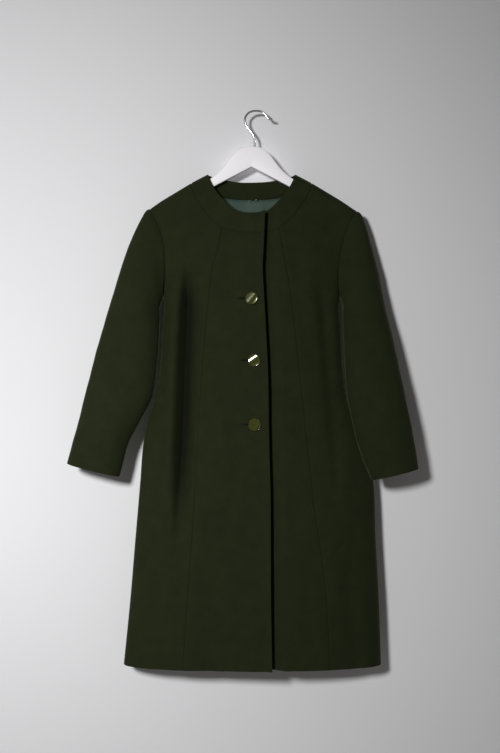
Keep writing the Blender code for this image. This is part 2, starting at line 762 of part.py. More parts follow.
def make_panels():
    for side, word in SIDES.items():
        def side_corners(row, column, side=side):
            if column == SIDE_COLUMNS and row >= LOWER_ROWS:
                return armhole_corner(side, row - LOWER_ROWS)
            return None

        cloth_wall(word + "_front", "wool", LOWER_ROWS + PRINCESS_ROW, FRONT_COLUMNS,
                   lambda r, c, side=side: front_panel_point(side, r, c), body_outward)
        cloth_wall(word + "_side_front", "wool", ALL_ROWS, SIDE_COLUMNS,
                   lambda r, c, side=side: side_front_point(side, r, c), body_outward, side_corners)

    def back_corners(row, column):
        if row < LOWER_ROWS or column not in (0, BACK_COLUMNS):
            return None
        side = -1 if column == 0 else 1
        return armhole_corner(side, (2 * UPPER_ROWS - (row - LOWER_ROWS)) % (2 * UPPER_ROWS))

    cloth_wall("back", "wool", ALL_ROWS, BACK_COLUMNS, back_panel_point, body_outward, back_corners)


def make_neckband():
    columns = UPPER_ROWS - PRINCESS_ROW + FRONT_COLUMNS
    for side, word in SIDES.items():
        cloth_wall("neckband_" + word, "wool", BAND_ROWS, columns,
                   lambda r, c, side=side: band_point(side, r, c), body_outward)
    cloth_wall("neckband_back", "wool", BAND_ROWS, BACK_BAND_COLUMNS, back_band_point, body_outward)


def make_sleeves():
    rings = len(CAP_RINGS) + len(SLEEVE_RINGS) - 1
    columns = 2 * UPPER_ROWS
    for side, word in SIDES.items():
        def corners(ring, column, side=side):
            return armhole_corner(side, column) if ring == 0 else None

        def outward(place, side=side):
            rows = SLEEVE_RIGHT if side < 0 else SLEEVE_LEFT
            nearest = min(range(len(rows)), key=lambda k: abs((rows[k][1] + rows[k][3]) / 2 - place.z))
            row = rows[nearest]
            return place - Vector(((row[0] + row[2]) / 2, row[4], (row[1] + row[3]) / 2))

        cloth_wall(word + "_sleeve", "wool", rings, columns,
                   lambda r, c, side=side: sleeve_point(side, r, c), outward, corners, closed=True)


def facing_point(row, column):
    # Row 0 is the facing's lower edge and the last row is the neck's edge
    drop = (FACING_ROWS - row) / FACING_ROWS
    band_depth = NECK_EDGE_BACK[0][1] - BAND_SEAM_BACK[0][1]
    return back_band_point(BAND_ROWS * (1 - drop * FACING_DEPTH / band_depth), column)


def lining_point(row, column):
    if row <= LOWER_ROWS:
        x, z = back_xz(row, column)
        z = mix(LINING_HEM_Z, UNDERARM_Z, row / LOWER_ROWS)
        return body_point("back", x, z)
    up = (row - LOWER_ROWS) / LINING_UPPER_ROWS
    x, _ = back_xz(LOWER_ROWS + up * UPPER_ROWS, column)
    rows = [(-distance, z) for distance, z in NECK_EDGE_BACK]
    out = min(abs(x - CENTRE_X) * LINING_NECK_SPREAD, NECK_TOP_X)
    under_facing = by_height(rows, -out)[0] - FACING_DEPTH - SEAM_GAP
    top = min(under_facing, shoulder_z(x) - LINING_BELOW_SHOULDER)
    return body_point("back", x, mix(UNDERARM_Z, top, up))


def make_inside():
    # The facing lies inside the back neckband, and the lining hangs from its lower edge
    cloth_wall("back_facing", "wool_facing", FACING_ROWS, BACK_BAND_COLUMNS - 2 * FACING_MARGIN,
               facing_point, body_outward, first_column=FACING_MARGIN, wall=FACING_WALL,
               inset=WALL + FACING_GAP)
    cloth_wall("back_lining", "lining", LOWER_ROWS + LINING_UPPER_ROWS, BACK_COLUMNS - 2 * LINING_MARGIN,
               lining_point, body_outward, first_column=LINING_MARGIN, wall=LINING_WALL,
               inset=WALL + LINING_GAP)


# Buttons


def right_frame(x, z):
    here = front_point(-1, x, z)
    dx = front_point(-1, x + 0.002, z) - front_point(-1, x - 0.002, z)
    dz = front_point(-1, x, z + 0.002) - front_point(-1, x, z - 0.002)
    normal = dx.cross(dz).normalized()
    return here, (normal if normal.y < 0 else -normal)


def shank_length(here, normal):
    # From the right front's face back to the left front's face
    length = 0.004
    for _ in range(8):
        end = here - normal * length
        length -= (end.y - front_point(1, end.x, end.z).y) * abs(normal.y)
    return length


def make_buttons():
    # Each shank reaches through its buttonhole to the left front
    for number, (x, z) in enumerate(BUTTONS, 1):
        here, normal = right_frame(x, z)
        foot = -(shank_length(here, normal) - SEAM_GAP * 1.5)
        profile = ((0.0, foot), (SHANK_RADIUS, foot)) + BUTTON_SECTION
        bm = bmesh.new()
        line = [bm.verts.new((r, 0.0, h)) for r, h in profile]
        edges = [bm.edges.new(pair) for pair in zip(line, line[1:])]
        bmesh.ops.spin(bm, geom=line + edges, cent=(0, 0, 0), axis=(0, 0, 1), dvec=(0, 0, 0),
                       angle=math.tau, steps=BUTTON_SIDES, use_merge=True)
        bmesh.ops.remove_doubles(bm, verts=bm.verts, dist=1e-6)
        turn = normal.to_track_quat("Z", "Y").to_matrix().to_4x4()
        turn.translation = here
        bmesh.ops.transform(bm, matrix=turn, verts=bm.verts)
        bmesh.ops.triangulate(bm, faces=bm.faces)
        link_object("button_%d" % number, bm, "button", math.radians(35))
        cut_buttonhole(here)


def cut_buttonhole(here):
    bm = bmesh.new()
    bmesh.ops.create_cube(bm, size=1.0)
    bmesh.ops.scale(bm, vec=(SLIT_LENGTH, SLIT_CUT, SLIT_HEIGHT), verts=bm.verts)
    middle = here.x + SLIT_INNER - SLIT_LENGTH / 2
    bmesh.ops.translate(bm, vec=(middle, here.y + WALL / 2, here.z), verts=bm.verts)
    cutter = link_object("buttonhole_cutter", bm, "wool")
    cut_with(bpy.data.objects["right_front"], cutter)


def cut_with(obj, cutter):
    cutter.hide_render = True
    cutter.display_type = "WIRE"
    boolean = obj.modifiers.new("cut", "BOOLEAN")
    boolean.operation = "DIFFERENCE"
    boolean.object = cutter
    boolean.solver = "EXACT"


# Hanger


def hanger_row(out):
    # Top, bottom and half-thickness at a distance from the middle
    if out <= HANGER[-1][0]:
        rows = [(-row[0], *row[1:]) for row in HANGER]
        return by_height(rows, -out)
    last_out, last_top, last_bottom, half = HANGER[-1]
    arm_top = shoulder_z(CENTRE_X + out) - HANGER_DROP
    t = ease((out - last_out) / (HANGER_ARM_FROM - last_out))
    top = mix(last_top - HANGER_SLOPE * (out - last_out), arm_top, t)
    tip = max((out - HANGER_ARM_FROM) / (HANGER_REACH - HANGER_ARM_FROM), 0.0)
    height = mix(last_top - last_bottom, mix(HANGER_ARM_HEIGHT, HANGER_TIP_HEIGHT, tip), t)
    return top, top - height, half


def make_hanger():
    # A flat wooden bow, rounded all round, and rounded off at both ends
    places = [(-out, 1.0, 0.0) for out in reversed(HANGER_STATIONS[1:])]
    places += [(out, 1.0, 0.0) for out in HANGER_STATIONS]
    places.insert(0, (-HANGER_REACH, HANGER_TIP_SIZE, HANGER_TIP_RISE))
    places.append((HANGER_REACH, HANGER_TIP_SIZE, HANGER_TIP_RISE))
    count = len(HANGER_RING)
    bm = bmesh.new()
    rings = []
    for out, size, rise in places:
        top, bottom, half = hanger_row(abs(out))
        high = (top - bottom) / 2
        middle = bottom + high * (1 + rise)
        ring = [(half * size * across, middle + high * size * up) for across, up in HANGER_RING]
        rings.append([bm.verts.new((CENTRE_X + out, y, z)) for y, z in ring])
    for first, second in zip(rings, rings[1:]):
        for k in range(count):
            m = (k + 1) % count
            bm.faces.new((first[k], first[m], second[m], second[k]))
    bm.faces.new(rings[0])
    bm.faces.new(rings[-1])
    bmesh.ops.triangulate(bm, faces=bm.faces)
    body = link_object("hanger_body", bm, "painted_wood", math.radians(60))
    make_hook(body)


def make_hook(body):
    curve = bpy.data.curves.new("hanger_hook", "CURVE")
    curve.dimensions = "3D"
    curve.bevel_depth = WIRE_RADIUS
    curve.bevel_resolution = 3
    curve.use_fill_caps = True
    line = curve.splines.new("POLY")
    line.points.add(HOOK_STEPS)
    for i in range(HOOK_STEPS + 1):
        x, z = spline(HOOK, i * (len(HOOK) - 1) / HOOK_STEPS)
        line.points[i].co = (x, 0.0, z, 1.0)
    hook = bpy.data.objects.new("hanger_hook", curve)
    hook.data.materials.append(material("chrome"))
    bpy.context.scene.collection.objects.link(hook)

    bm = bmesh.new()
    foot_x, foot_z = HOOK[-1]
    radius = WIRE_RADIUS + HOOK_BORE_CLEARANCE
    bmesh.ops.create_cone(bm, cap_ends=True, segments=16, radius1=radius, radius2=radius,
                          depth=HOOK_BORE_CUT)
    middle = foot_z - SEAM_GAP + HOOK_BORE_CUT / 2
    bmesh.ops.translate(bm, vec=(foot_x, 0.0, middle), verts=bm.verts)
    cut_with(body, link_object("hook_bore_cutter", bm, "chrome"))


def main():
    for obj in list(bpy.data.objects):
        bpy.data.objects.remove(obj, do_unlink=True)
    make_panels()
    make_neckband()
    make_sleeves()
    make_inside()
    make_buttons()
    make_hanger()


main()
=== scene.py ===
import math

import bpy
import numpy as np
from mathutils import Matrix, Vector


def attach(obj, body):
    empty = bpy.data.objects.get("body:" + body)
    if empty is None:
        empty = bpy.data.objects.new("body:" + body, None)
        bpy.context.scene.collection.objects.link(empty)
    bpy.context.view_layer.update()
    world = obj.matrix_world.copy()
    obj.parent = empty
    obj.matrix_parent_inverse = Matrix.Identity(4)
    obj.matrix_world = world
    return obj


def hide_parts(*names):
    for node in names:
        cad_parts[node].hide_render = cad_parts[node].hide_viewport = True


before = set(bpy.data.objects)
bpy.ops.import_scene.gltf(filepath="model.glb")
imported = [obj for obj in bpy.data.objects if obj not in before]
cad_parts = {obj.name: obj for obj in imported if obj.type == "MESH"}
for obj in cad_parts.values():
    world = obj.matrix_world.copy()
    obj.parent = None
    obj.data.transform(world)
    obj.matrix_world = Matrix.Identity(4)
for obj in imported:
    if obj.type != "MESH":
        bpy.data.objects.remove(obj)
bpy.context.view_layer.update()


# Shader building

class Wire:
    # One socket, which can be written into a sum
    def __init__(self, graph, socket):
        self.graph = graph
        self.socket = socket

    def maths(self, operation, *others):
        inputs = {place: value for place, value in enumerate(others)}
        return self.graph.node("ShaderNodeMath", {"operation": operation}, inputs)

    def __add__(self, other):
        return self.maths("ADD", self, other)

    def __radd__(self, other):
        return self.maths("ADD", other, self)

    def __sub__(self, other):
        return self.maths("SUBTRACT", self, other)

    def __rsub__(self, other):
        return self.maths("SUBTRACT", other, self)

    def __mul__(self, other):
        return self.maths("MULTIPLY", self, other)

    def __rmul__(self, other):
        return self.maths("MULTIPLY", other, self)


class Graph:
    # A material, filled node by node
    def __init__(self, name, finish):
        self.material = bpy.data.materials.new(name)
        self.material.use_nodes = True
        self.tree = self.material.node_tree
        self.tree.nodes.clear()
        self.shader = self.tree.nodes.new("ShaderNodeBsdfPrincipled")
        self.output = self.tree.nodes.new("ShaderNodeOutputMaterial")
        self.tree.links.new(self.shader.outputs[0], self.output.inputs["Surface"])
        for key, value in finish.items():
            self.shader.inputs[key].default_value = value

    def node(self, kind, settings=None, inputs=None, output=0):
        made = self.tree.nodes.new(kind)
        for key, value in (settings or {}).items():
            setattr(made, key, value)
        for key, value in (inputs or {}).items():
            if isinstance(value, Wire):
                self.tree.links.new(value.socket, made.inputs[key])
            else:
                made.inputs[key].default_value = value
        return Wire(self, made.outputs[output])

    def blend(self, factor, first, second):
        return self.node("ShaderNodeMix", {"data_type": "RGBA"}, {0: factor, 6: first, 7: second}, 2)

    def mask(self, value, low, high):
        return self.node("ShaderNodeMapRange", None, {"Value": value, "From Min": low, "From Max": high})

    def place(self, source="Object"):
        return self.node("ShaderNodeTexCoord", output=source)

    def noise(self, where, scale, detail=2.0, roughness=0.5):
        sizes = {"Vector": where, "Scale": scale, "Detail": detail, "Roughness": roughness}
        return self.node("ShaderNodeTexNoise", None, sizes)

    def bump(self, height, distance, strength=1.0, under=None):
        inputs = {"Height": height, "Distance": distance, "Strength": strength}
        if under:
            inputs["Normal"] = under
        return self.node("ShaderNodeBump", None, inputs)

    def feed(self, name, wire):
        self.tree.links.new(wire.socket, self.shader.inputs[name])


def rgb(*values):
    return (*values, 1.0)


# Wool: a close plain weave under a short nap, a little lighter where light grazes it, with painted shade
# darkening its colour at the foot of deep folds
wool = {
    "dark": rgb(0.0106, 0.0143, 0.0044),
    "light": rgb(0.0164, 0.0211, 0.0070),
    "threads": 1250.0,       # to the metre, as the sizes of nap, cloud and slub are
    "nap": 420.0, "cloud": 38.0, "slub": 1500.0,
    "spread": (0.36, 0.64),
    "weaveHeight": 0.00012,
    "napHeight": 0.00035,
    "paintedCreaseShade": 0.72,     # painted shade: how far the colour at the foot of a deep fold darkens
    "finish": {
        "Roughness": 0.90, "Specular IOR Level": 0.14, "Sheen Weight": 0.15,
        "Sheen Roughness": 0.36, "Sheen Tint": rgb(0.60, 0.68, 0.30),
    },
}


def makeWool(name, tone=1.0):
    graph = Graph(name, wool["finish"])
    here = graph.place()
    across = graph.node("ShaderNodeSeparateXYZ", None, {0: graph.place("UV")})
    down = Wire(graph, across.socket.node.outputs[1])
    turn = wool["threads"] * math.pi
    weft = across.maths("SINE", across * turn)
    warp = across.maths("SINE", down * turn)
    weave = weft * warp * 0.5 + 0.5
    nap = graph.noise(here, wool["nap"], 3.0, 0.62)
    cloud = graph.noise(here, wool["cloud"], 3.0, 0.55)
    slub = graph.noise(here, wool["slub"], 1.0)
    shade = graph.mask(nap * 0.45 + cloud * 0.35 + slub * 0.2, *wool["spread"])
    dark, light = (rgb(*[value * tone for value in wool[key][:3]]) for key in ("dark", "light"))
    # painted shade: a point attribute darkens the base colour towards black at the foot of deep folds
    paintedFoldShade = graph.node("ShaderNodeAttribute", {"attribute_name": "paintedFoldShade"}, None, 2)
    cloth = graph.blend(shade, dark, light)
    graph.feed("Base Color", graph.blend(paintedFoldShade * wool["paintedCreaseShade"], cloth, rgb(0.0, 0.0, 0.0)))
    under = graph.bump(nap, wool["napHeight"], 0.5)
    graph.feed("Normal", graph.bump(weave, wool["weaveHeight"], 0.6, under))
    return graph.material


# Lining: a grey-green satin
lining = {
    "dark": rgb(0.032, 0.060, 0.044),
    "light": rgb(0.046, 0.080, 0.060),
    "threads": (900.0, 900.0, 30.0), "cloud": 45.0, "threadHeight": 0.00008,
    "finish": {"Roughness": 0.58, "Specular IOR Level": 0.22, "Sheen Weight": 0.10,
               "Sheen Roughness": 0.3, "Sheen Tint": rgb(0.8, 1.0, 0.9)},
}


def makeLining():
    graph = Graph("liningSatin", lining["finish"])
    here = graph.place()
    stretched = graph.node("ShaderNodeMapping", None, {"Vector": here, "Scale": lining["threads"]})
    thread = graph.noise(stretched, 1.0, 2.0)
    cloud = graph.noise(here, lining["cloud"], 2.0)
    graph.feed("Base Color", graph.blend(thread * 0.5 + cloud * 0.5, lining["dark"], lining["light"]))
    graph.feed("Normal", graph.bump(thread, lining["threadHeight"], 0.5))
    return graph.material


woolCloth = makeWool("woolCloth")
woolFacing = makeWool("woolFacing", 0.95)
liningSatin = makeLining()
print("materials for the cloth are made")


# Maths on arrays: tables are read smoothly between their rows

def ease(t):
    t = np.clip(t, 0.0, 1.0)
    return t * t * (3.0 - 2.0 * t)


def mix(a, b, t):
    return a + (b - a) * t


def smoothRun(t, start, leave, end, arrive):
    # From start to end as t goes from 0 to 1, with the slopes leave and arrive
    run = (2 * t**3 - 3 * t**2 + 1) * start + (t**3 - 2 * t**2 + t) * leave
    return run + (3 * t**2 - 2 * t**3) * end + (t**3 - t**2) * arrive


def along(points, place):
    # A smooth curve through points, read at places counted in points
    points = np.array(points, float)
    last = len(points) - 1
    place = np.clip(np.asarray(place, float), 0, last)
    i = np.minimum(place.astype(int), last - 1)
    t = (place - i)[..., None]
    before, here = points[np.maximum(i - 1, 0)], points[i]
    there, after = points[i + 1], points[np.minimum(i + 2, last)]
    return smoothRun(t, here, (there - before) / 2, there, (after - here) / 2)


def placeWhere(points, measure, target):
    # Where on the curve a measure that only rises or only falls reaches the target
    places = np.linspace(0, len(points) - 1, 4000)
    found = along(points, places)
    values = measure(found[:, 0], found[:, 1])
    if values[-1] < values[0]:
        values, places = values[::-1], places[::-1]
    return np.interp(target, values, places)


def atHeight(rows, z):
    # All columns of a table whose first column is the height, from the top down
    rows = np.array(rows, float)
    heights, values = rows[:, 0], rows[:, 1:]
    slopes = np.empty_like(values)
    slopes[1:-1] = (values[2:] - values[:-2]) / (heights[2:] - heights[:-2])[:, None]
    slopes[0] = (values[1] - values[0]) / (heights[1] - heights[0])
    slopes[-1] = (values[-1] - values[-2]) / (heights[-1] - heights[-2])
    z = np.clip(np.asarray(z, float), heights[-1], heights[0])
    i = np.clip(np.searchsorted(-heights, -z, side="right") - 1, 0, len(heights) - 2)
    step = (heights[i + 1] - heights[i])[..., None]
    t = (z - heights[i])[..., None] / step
    result = smoothRun(t, values[i], slopes[i] * step, values[i + 1], slopes[i + 1] * step)
    return np.moveaxis(result, -1, 0)


def xAt(line, z):
    return atHeight([(height, x) for x, height in line], z)[0]


# Steps away from an edge, close enough together for the edge to be rounded
edgeSteps = np.array([0.0, 0.0002, 0.0006, 0.0012, 0.0021, 0.0035, 0.0055])

# The coat's form. Seam lines are (x, z) in front view, from the top down.
form = {
    "wall": 0.0024,
    "hem": -1.103,
    "underarm": -0.370,
    "centre": -0.005,
    "neckHalf": 0.087,
    "neckTop": -0.1246,
    "shoulderSlope": 0.6,
    "shoulderRound": 0.015,
    # the shoulder's padding: height, and where it starts and fades by a share, each over a distance
    "shoulderRaise": 0.0028, "raiseFrom": 0.095, "fadeFrom": 0.175, "fadeShare": 0.7, "raiseOver": 0.030,
    "shoulderHalf": 0.205,
    "chestDrop": 0.22,
    "foldStart": 0.05,       # folds fade out over this distance below the shoulder line
    "oval": 2.3,
    # height, side fold on the wearer's right, on the left, depth in front, behind, fold's own y
    "body": (
        (-0.050, -0.250, 0.250, 0.024, 0.012, 0.002),
        (-0.197, -0.250, 0.250, 0.026, 0.014, 0.003),
        (-0.280, -0.215, 0.211, 0.029, 0.016, 0.004),
        (-0.370, -0.182, 0.1710, 0.031, 0.018, 0.005),
        (-0.443, -0.184, 0.1725, 0.033, 0.019, 0.006),
        (-0.515, -0.188, 0.1765, 0.034, 0.021, 0.008),
        (-0.567, -0.197, 0.184, 0.035, 0.022, 0.009),
        (-0.621, -0.214, 0.205, 0.036, 0.023, 0.010),
        (-0.670, -0.223, 0.225, 0.037, 0.024, 0.010),
        (-0.735, -0.228, 0.239, 0.039, 0.025, 0.010),
        (-0.855, -0.238, 0.244, 0.041, 0.028, 0.008),
        (-0.975, -0.248, 0.250, 0.043, 0.031, 0.007),
        (-1.103, -0.2607, 0.2543, 0.045, 0.033, 0.006),
    ),
    "princess": {
        -1: ((-0.0632, -0.2335), (-0.0715, -0.2790), (-0.0830, -0.3250), (-0.1000, -0.4820),
             (-0.1116, -0.6385), (-0.1212, -0.8335), (-0.1348, -1.0282), (-0.1393, -1.1030)),
        1: ((0.0500, -0.2350), (0.0705, -0.3526), (0.0860, -0.4820), (0.0995, -0.6072),
            (0.1150, -0.7555), (0.1305, -0.8667), (0.1420, -0.9638), (0.1496, -1.1030)),
    },
    "frontEdge": (
        (0.0242, -0.2000), (0.0206, -0.2790), (0.0190, -0.3130), (0.0233, -0.4000),
        (0.0272, -0.4700), (0.0299, -0.5350), (0.0315, -0.6520), (0.0343, -0.7700),
        (0.0352, -0.9640), (0.0373, -1.1030),
    ),
    "armhole": {
        -1: ((-0.2080, -0.1942), (-0.2010, -0.2066), (-0.1870, -0.2379), (-0.1790, -0.2750),
             (-0.1780, -0.3200), (-0.1800, -0.3550), (-0.1820, -0.3700)),
        1: ((0.2060, -0.1990), (0.1965, -0.2115), (0.1865, -0.2320), (0.1780, -0.2580),
            (0.1705, -0.2920), (0.1675, -0.3300), (0.1685, -0.3580), (0.1710, -0.3700)),
    },
    # neckband's lines: distance from the middle and height, out to the shoulder line
    "bandSeam": (
        (0.000, -0.2445), (0.018, -0.2436), (0.034, -0.2398), (0.056, -0.2342), (0.076, -0.2185),
        (0.087, -0.2055), (0.0995, -0.1885), (0.111, -0.1705), (0.1185, -0.1525), (0.120, -0.14181),
    ),
    "neckEdge": (
        (0.000, -0.2042), (0.018, -0.2022), (0.037, -0.1940), (0.055, -0.1775), (0.0705, -0.1590),
        (0.080, -0.1430), (0.0850, -0.1320), (0.087, -0.1246),
    ),
    "backSeam": ((0.000, -0.1800), (0.040, -0.1770), (0.080, -0.1630), (0.105, -0.1505),
                 (0.120, -0.14181)),
    "backEdge": ((0.000, -0.1384), (0.030, -0.1370), (0.055, -0.1325), (0.075, -0.1275),
                 (0.087, -0.1246)),
    # how far the two front ones run on past the middle
    "seamReach": 0.057, "edgeReach": 0.056,
    "overlap": 0.058,
    "edgeBack": 0.0022,
    # the lap: height or depth, how far from the edge it starts, and the distance it grows over
    "lapLift": (0.0030, 0.070, 0.070),
    "edgeLift": (0.0044, 0.016, 0.016),
    "lapSink": (0.0070, 0.028, 0.022),
    "lapGroove": (0.0060, 0.0105, 0.006),
}

centre = form["centre"]

# Soft folds: face, x at the top, x at the foot, top, deepest from, deepest to, foot, width towards -X,
# width towards +X, depth
folds = (
    ("front", -0.128, -0.152, -0.285, -0.410, -0.620, -0.920, 0.0110, 0.0200, 0.0290),
    ("front", -0.158, -0.176, -0.300, -0.420, -0.620, -0.920, 0.0150, 0.0120, -0.0060),
    ("front", 0.128, 0.176, -0.300, -0.420, -0.560, -0.880, 0.012, 0.016, 0.0060),
    ("front", -0.075, -0.098, -0.800, -1.020, -1.200, -1.300, 0.022, 0.022, 0.0030),
    ("front", 0.185, 0.205, -0.700, -0.960, -1.200, -1.300, 0.020, 0.020, 0.0045),
    ("back", -0.105, -0.135, -0.330, -0.560, -1.200, -1.300, 0.026, 0.026, 0.0080),
    ("back", 0.095, 0.130, -0.350, -0.600, -1.200, -1.300, 0.028, 0.028, 0.0070),
    ("back", 0.010, -0.006, -0.560, -0.900, -1.200, -1.300, 0.024, 0.024, 0.0045),
)

# Short creases: face, x and z of both ends, half-width, depth
creases = (
    ("front", 0.185, -0.840, 0.155, -0.885, 0.006, 0.0016),
    ("front", 0.092, -1.062, 0.112, -1.070, 0.006, 0.0008),
    ("front", -0.024, -1.060, -0.004, -1.068, 0.006, 0.0008),
    ("front", -0.060, -0.300, -0.020, -0.330, 0.010, 0.0005),
    ("front", -0.155, -0.235, -0.120, -0.262, 0.011, 0.0010),
    ("front", 0.150, -0.250, 0.118, -0.282, 0.011, 0.0010),
    ("back", -0.150, -0.250, -0.070, -0.290, 0.012, 0.0012),
    ("back", 0.150, -0.262, 0.082, -0.300, 0.013, 0.0010),
    ("back", 0.170, -0.700, 0.120, -0.745, 0.009, 0.0012),
    ("back", -0.060, -1.030, -0.030, -1.050, 0.010, 0.0009),
)

# How a crease fades at its ends: over which share of its length, and how much of it is left there
creaseFade = {"body": (0.45, 0.3), "sleeve": (0.5, 0.35)}

# Slow unevenness of hung cloth: waves to the metre across and down, phase, height
unevenness = (
    (9.0, 1.1, 0.4, 0.00050),
    (15.0, -2.3, 1.9, 0.00035),
    (23.0, 3.7, 3.1, 0.00022),
    (6.0, 6.5, 5.2, 0.00030),
    (31.0, -7.0, 0.9, 0.00012),
    (12.0, 17.0, 2.4, 0.00012),
)
unevenShift = {"front": 0.0, "back": 1.7}


def shoulderZ(x):
    out = np.abs(x - centre)
    straight = form["neckTop"] - form["shoulderSlope"] * (out - form["neckHalf"])
    over = form["shoulderSlope"] * form["neckHalf"] / 2 * (1 - (out / form["neckHalf"]) ** 2)
    raised, faded = (ease((out - form[key]) / form["raiseOver"]) for key in ("raiseFrom", "fadeFrom"))
    straight += form["shoulderRaise"] * (raised - form["fadeShare"] * faded)
    return np.where(out >= form["neckHalf"], straight, form["neckTop"] + over)


def creaseAt(x, z, ends, width, share, lead):
    # How far a crease between two points counts at x and z: it fades over a share of its length
    x0, z0, x1, z1 = ends
    length = math.hypot(x1 - x0, z1 - z0)
    dx, dz = (x1 - x0) / length, (z1 - z0) / length
    run = (x - x0) * dx + (z - z0) * dz
    off = (x - x0) * dz - (z - z0) * dx
    fade = ease(run / (length * share) + lead) * ease((length - run) / (length * share) + lead)
    return fade * np.exp(-((off / width) ** 2))


def creaseDepth(face, x, z):
    total = np.zeros(np.broadcast(x, z).shape)
    for where, *ends, width, depth in creases:
        if where == face:
            total += depth * creaseAt(x, z, ends, width, *creaseFade["body"])
    return total


def foldDepth(face, x, z):
    total = creaseDepth(face, x, z)
    for where, xTop, xFoot, top, deepFrom, deepTo, foot, before, after, depth in folds:
        if where != face:
            continue
        middle = mix(xTop, xFoot, (z - top) / (foot - top))
        fade = ease((top - z) / (top - deepFrom)) * ease((z - foot) / (deepTo - foot))
        width = np.where(x < middle, before, after)
        total += depth * fade * np.exp(-(((x - middle) / width) ** 2))
    for acrossRate, downRate, phase, height in unevenness:
        wave = 2 * math.pi * (x * acrossRate + z * downRate) + phase
        total += height * np.sin(wave + unevenShift[face])
    return total


def bodyY(face, x, z):
    right, left, depthFront, depthBack, foldY = atHeight(form["body"], z)
    out = np.minimum(np.abs(x - (right + left) / 2) / ((left - right) / 2), 1.0)
    oval = np.maximum(1.0 - out ** form["oval"], 0.0) ** (1 / form["oval"])
    below = np.maximum(shoulderZ(x) - z, 0.0)
    grown = ease(below / form["chestDrop"])
    rounded = form["shoulderRound"]
    topRound = rounded * np.sqrt(1 - (1 - np.minimum(below / rounded, 1.0)) ** 2)
    depth = depthFront if face == "front" else depthBack
    soft = np.minimum(oval * 2, 1.0) * ease(below / form["foldStart"])
    reach = (topRound + depth * grown) * oval - foldDepth(face, x, z) * soft
    return foldY * grown + (reach if face == "back" else -reach)


def bodyPoints(face, x, z):
    x, z = np.broadcast_arrays(np.asarray(x, float), np.asarray(z, float))
    return np.stack([x, bodyY(face, x, z), z], axis=-1)


def frontPoints(side, x, z):
    # The right front lies over the left one
    points = bodyPoints("front", x, z)
    x, z = points[..., 0], points[..., 2]
    past = -side * (x - xAt(form["frontEdge"], z))
    for key in ("lapLift", "edgeLift") if side < 0 else ("lapSink", "lapGroove"):
        amount, start, over = form[key]
        points[..., 1] += side * amount * ease((past + start) / over)
    return points


def level(x, z):
    top = shoulderZ(x)
    return (top - z) / (top - form["underarm"])


def sideX(side, z):
    return atHeight(form["body"], z)[0 if side < 0 else 1]


def neckLine(half, side, reach):
    # From the shoulder to the middle, and past it as far as the lap needs
    outer = [(centre + side * out, z) for out, z in reversed(half)]
    return outer + [(centre - side * out, z) for out, z in half[1:] if out <= reach]


bandSeam = {side: neckLine(form["bandSeam"], side, form["seamReach"]) for side in (-1, 1)}
neckEdge = {side: neckLine(form["neckEdge"], side, form["edgeReach"]) for side in (-1, 1)}
halfSeam = len(form["bandSeam"]) - 1
princessPlace = {}
princessLine = {}
for side in (-1, 1):
    half = bandSeam[side][:halfSeam + 1]
    princessPlace[side] = float(placeWhere(half, lambda x, z: x, form["princess"][side][0][0]))
    meeting = tuple(along(half, princessPlace[side]))
    princessLine[side] = (meeting, *form["princess"][side][1:])


def princessX(side, z):
    line = princessLine[side]
    return along(line, placeWhere(line, lambda px, pz: pz, z))[..., 0]


def lineAtLevel(line, wanted):
    found = along(line, placeWhere(line, level, wanted))
    x = found[..., 0]
    return x, mix(shoulderZ(x), form["underarm"], wanted)


def frontEdgeX(side, z):
    return xAt(form["frontEdge"], z) - (form["overlap"] if side > 0 else form["edgeBack"])


def lapEnd(side, line):
    return float(placeWhere(line, lambda x, z: side * (x - frontEdgeX(side, z)), 0.0))


def spaced(length, count):
    # Shares from 0 to 1, close together near both ends so that an edge can be rounded
    near = edgeSteps / length
    middle = np.linspace(near[-1], 1 - near[-1], count)[1:-1]
    return np.concatenate([near, middle, 1 - near[::-1]])


# Walls of cloth

def addObject(name, data):
    made = bpy.data.objects.new(name, data)
    bpy.context.scene.collection.objects.link(made)
    return made


def lengthsAlong(points, axis):
    step = np.linalg.norm(np.diff(points, axis=axis), axis=-1)
    shape = list(step.shape)
    shape[axis] = 1
    return np.concatenate([np.zeros(shape), np.cumsum(step, axis=axis)], axis=axis)


def normalsOf(points, closed):
    grid = points
    if closed:
        grid = np.concatenate([points[:, -1:], points, points[:, :1]], axis=1)
    down = np.gradient(grid, axis=0)
    over = np.gradient(grid, axis=1)
    normals = np.cross(down, over)
    normals /= np.maximum(np.linalg.norm(normals, axis=-1, keepdims=True), 1e-12)
    return normals[:, 1:-1] if closed else normals


# How an edge is finished: depth of the dip at a seam, and its half-width
seams = {
    "sewn": (0.00110, 0.0026),
    "pressed": (0.00060, 0.0020),
    "turned": (0.0, 0.001),
}
# The edge's radius as a share of the wall, and how much of the outer face's lift the inner one has
wallEdge = {"rounding": 0.42, "innerFollows": 0.6}


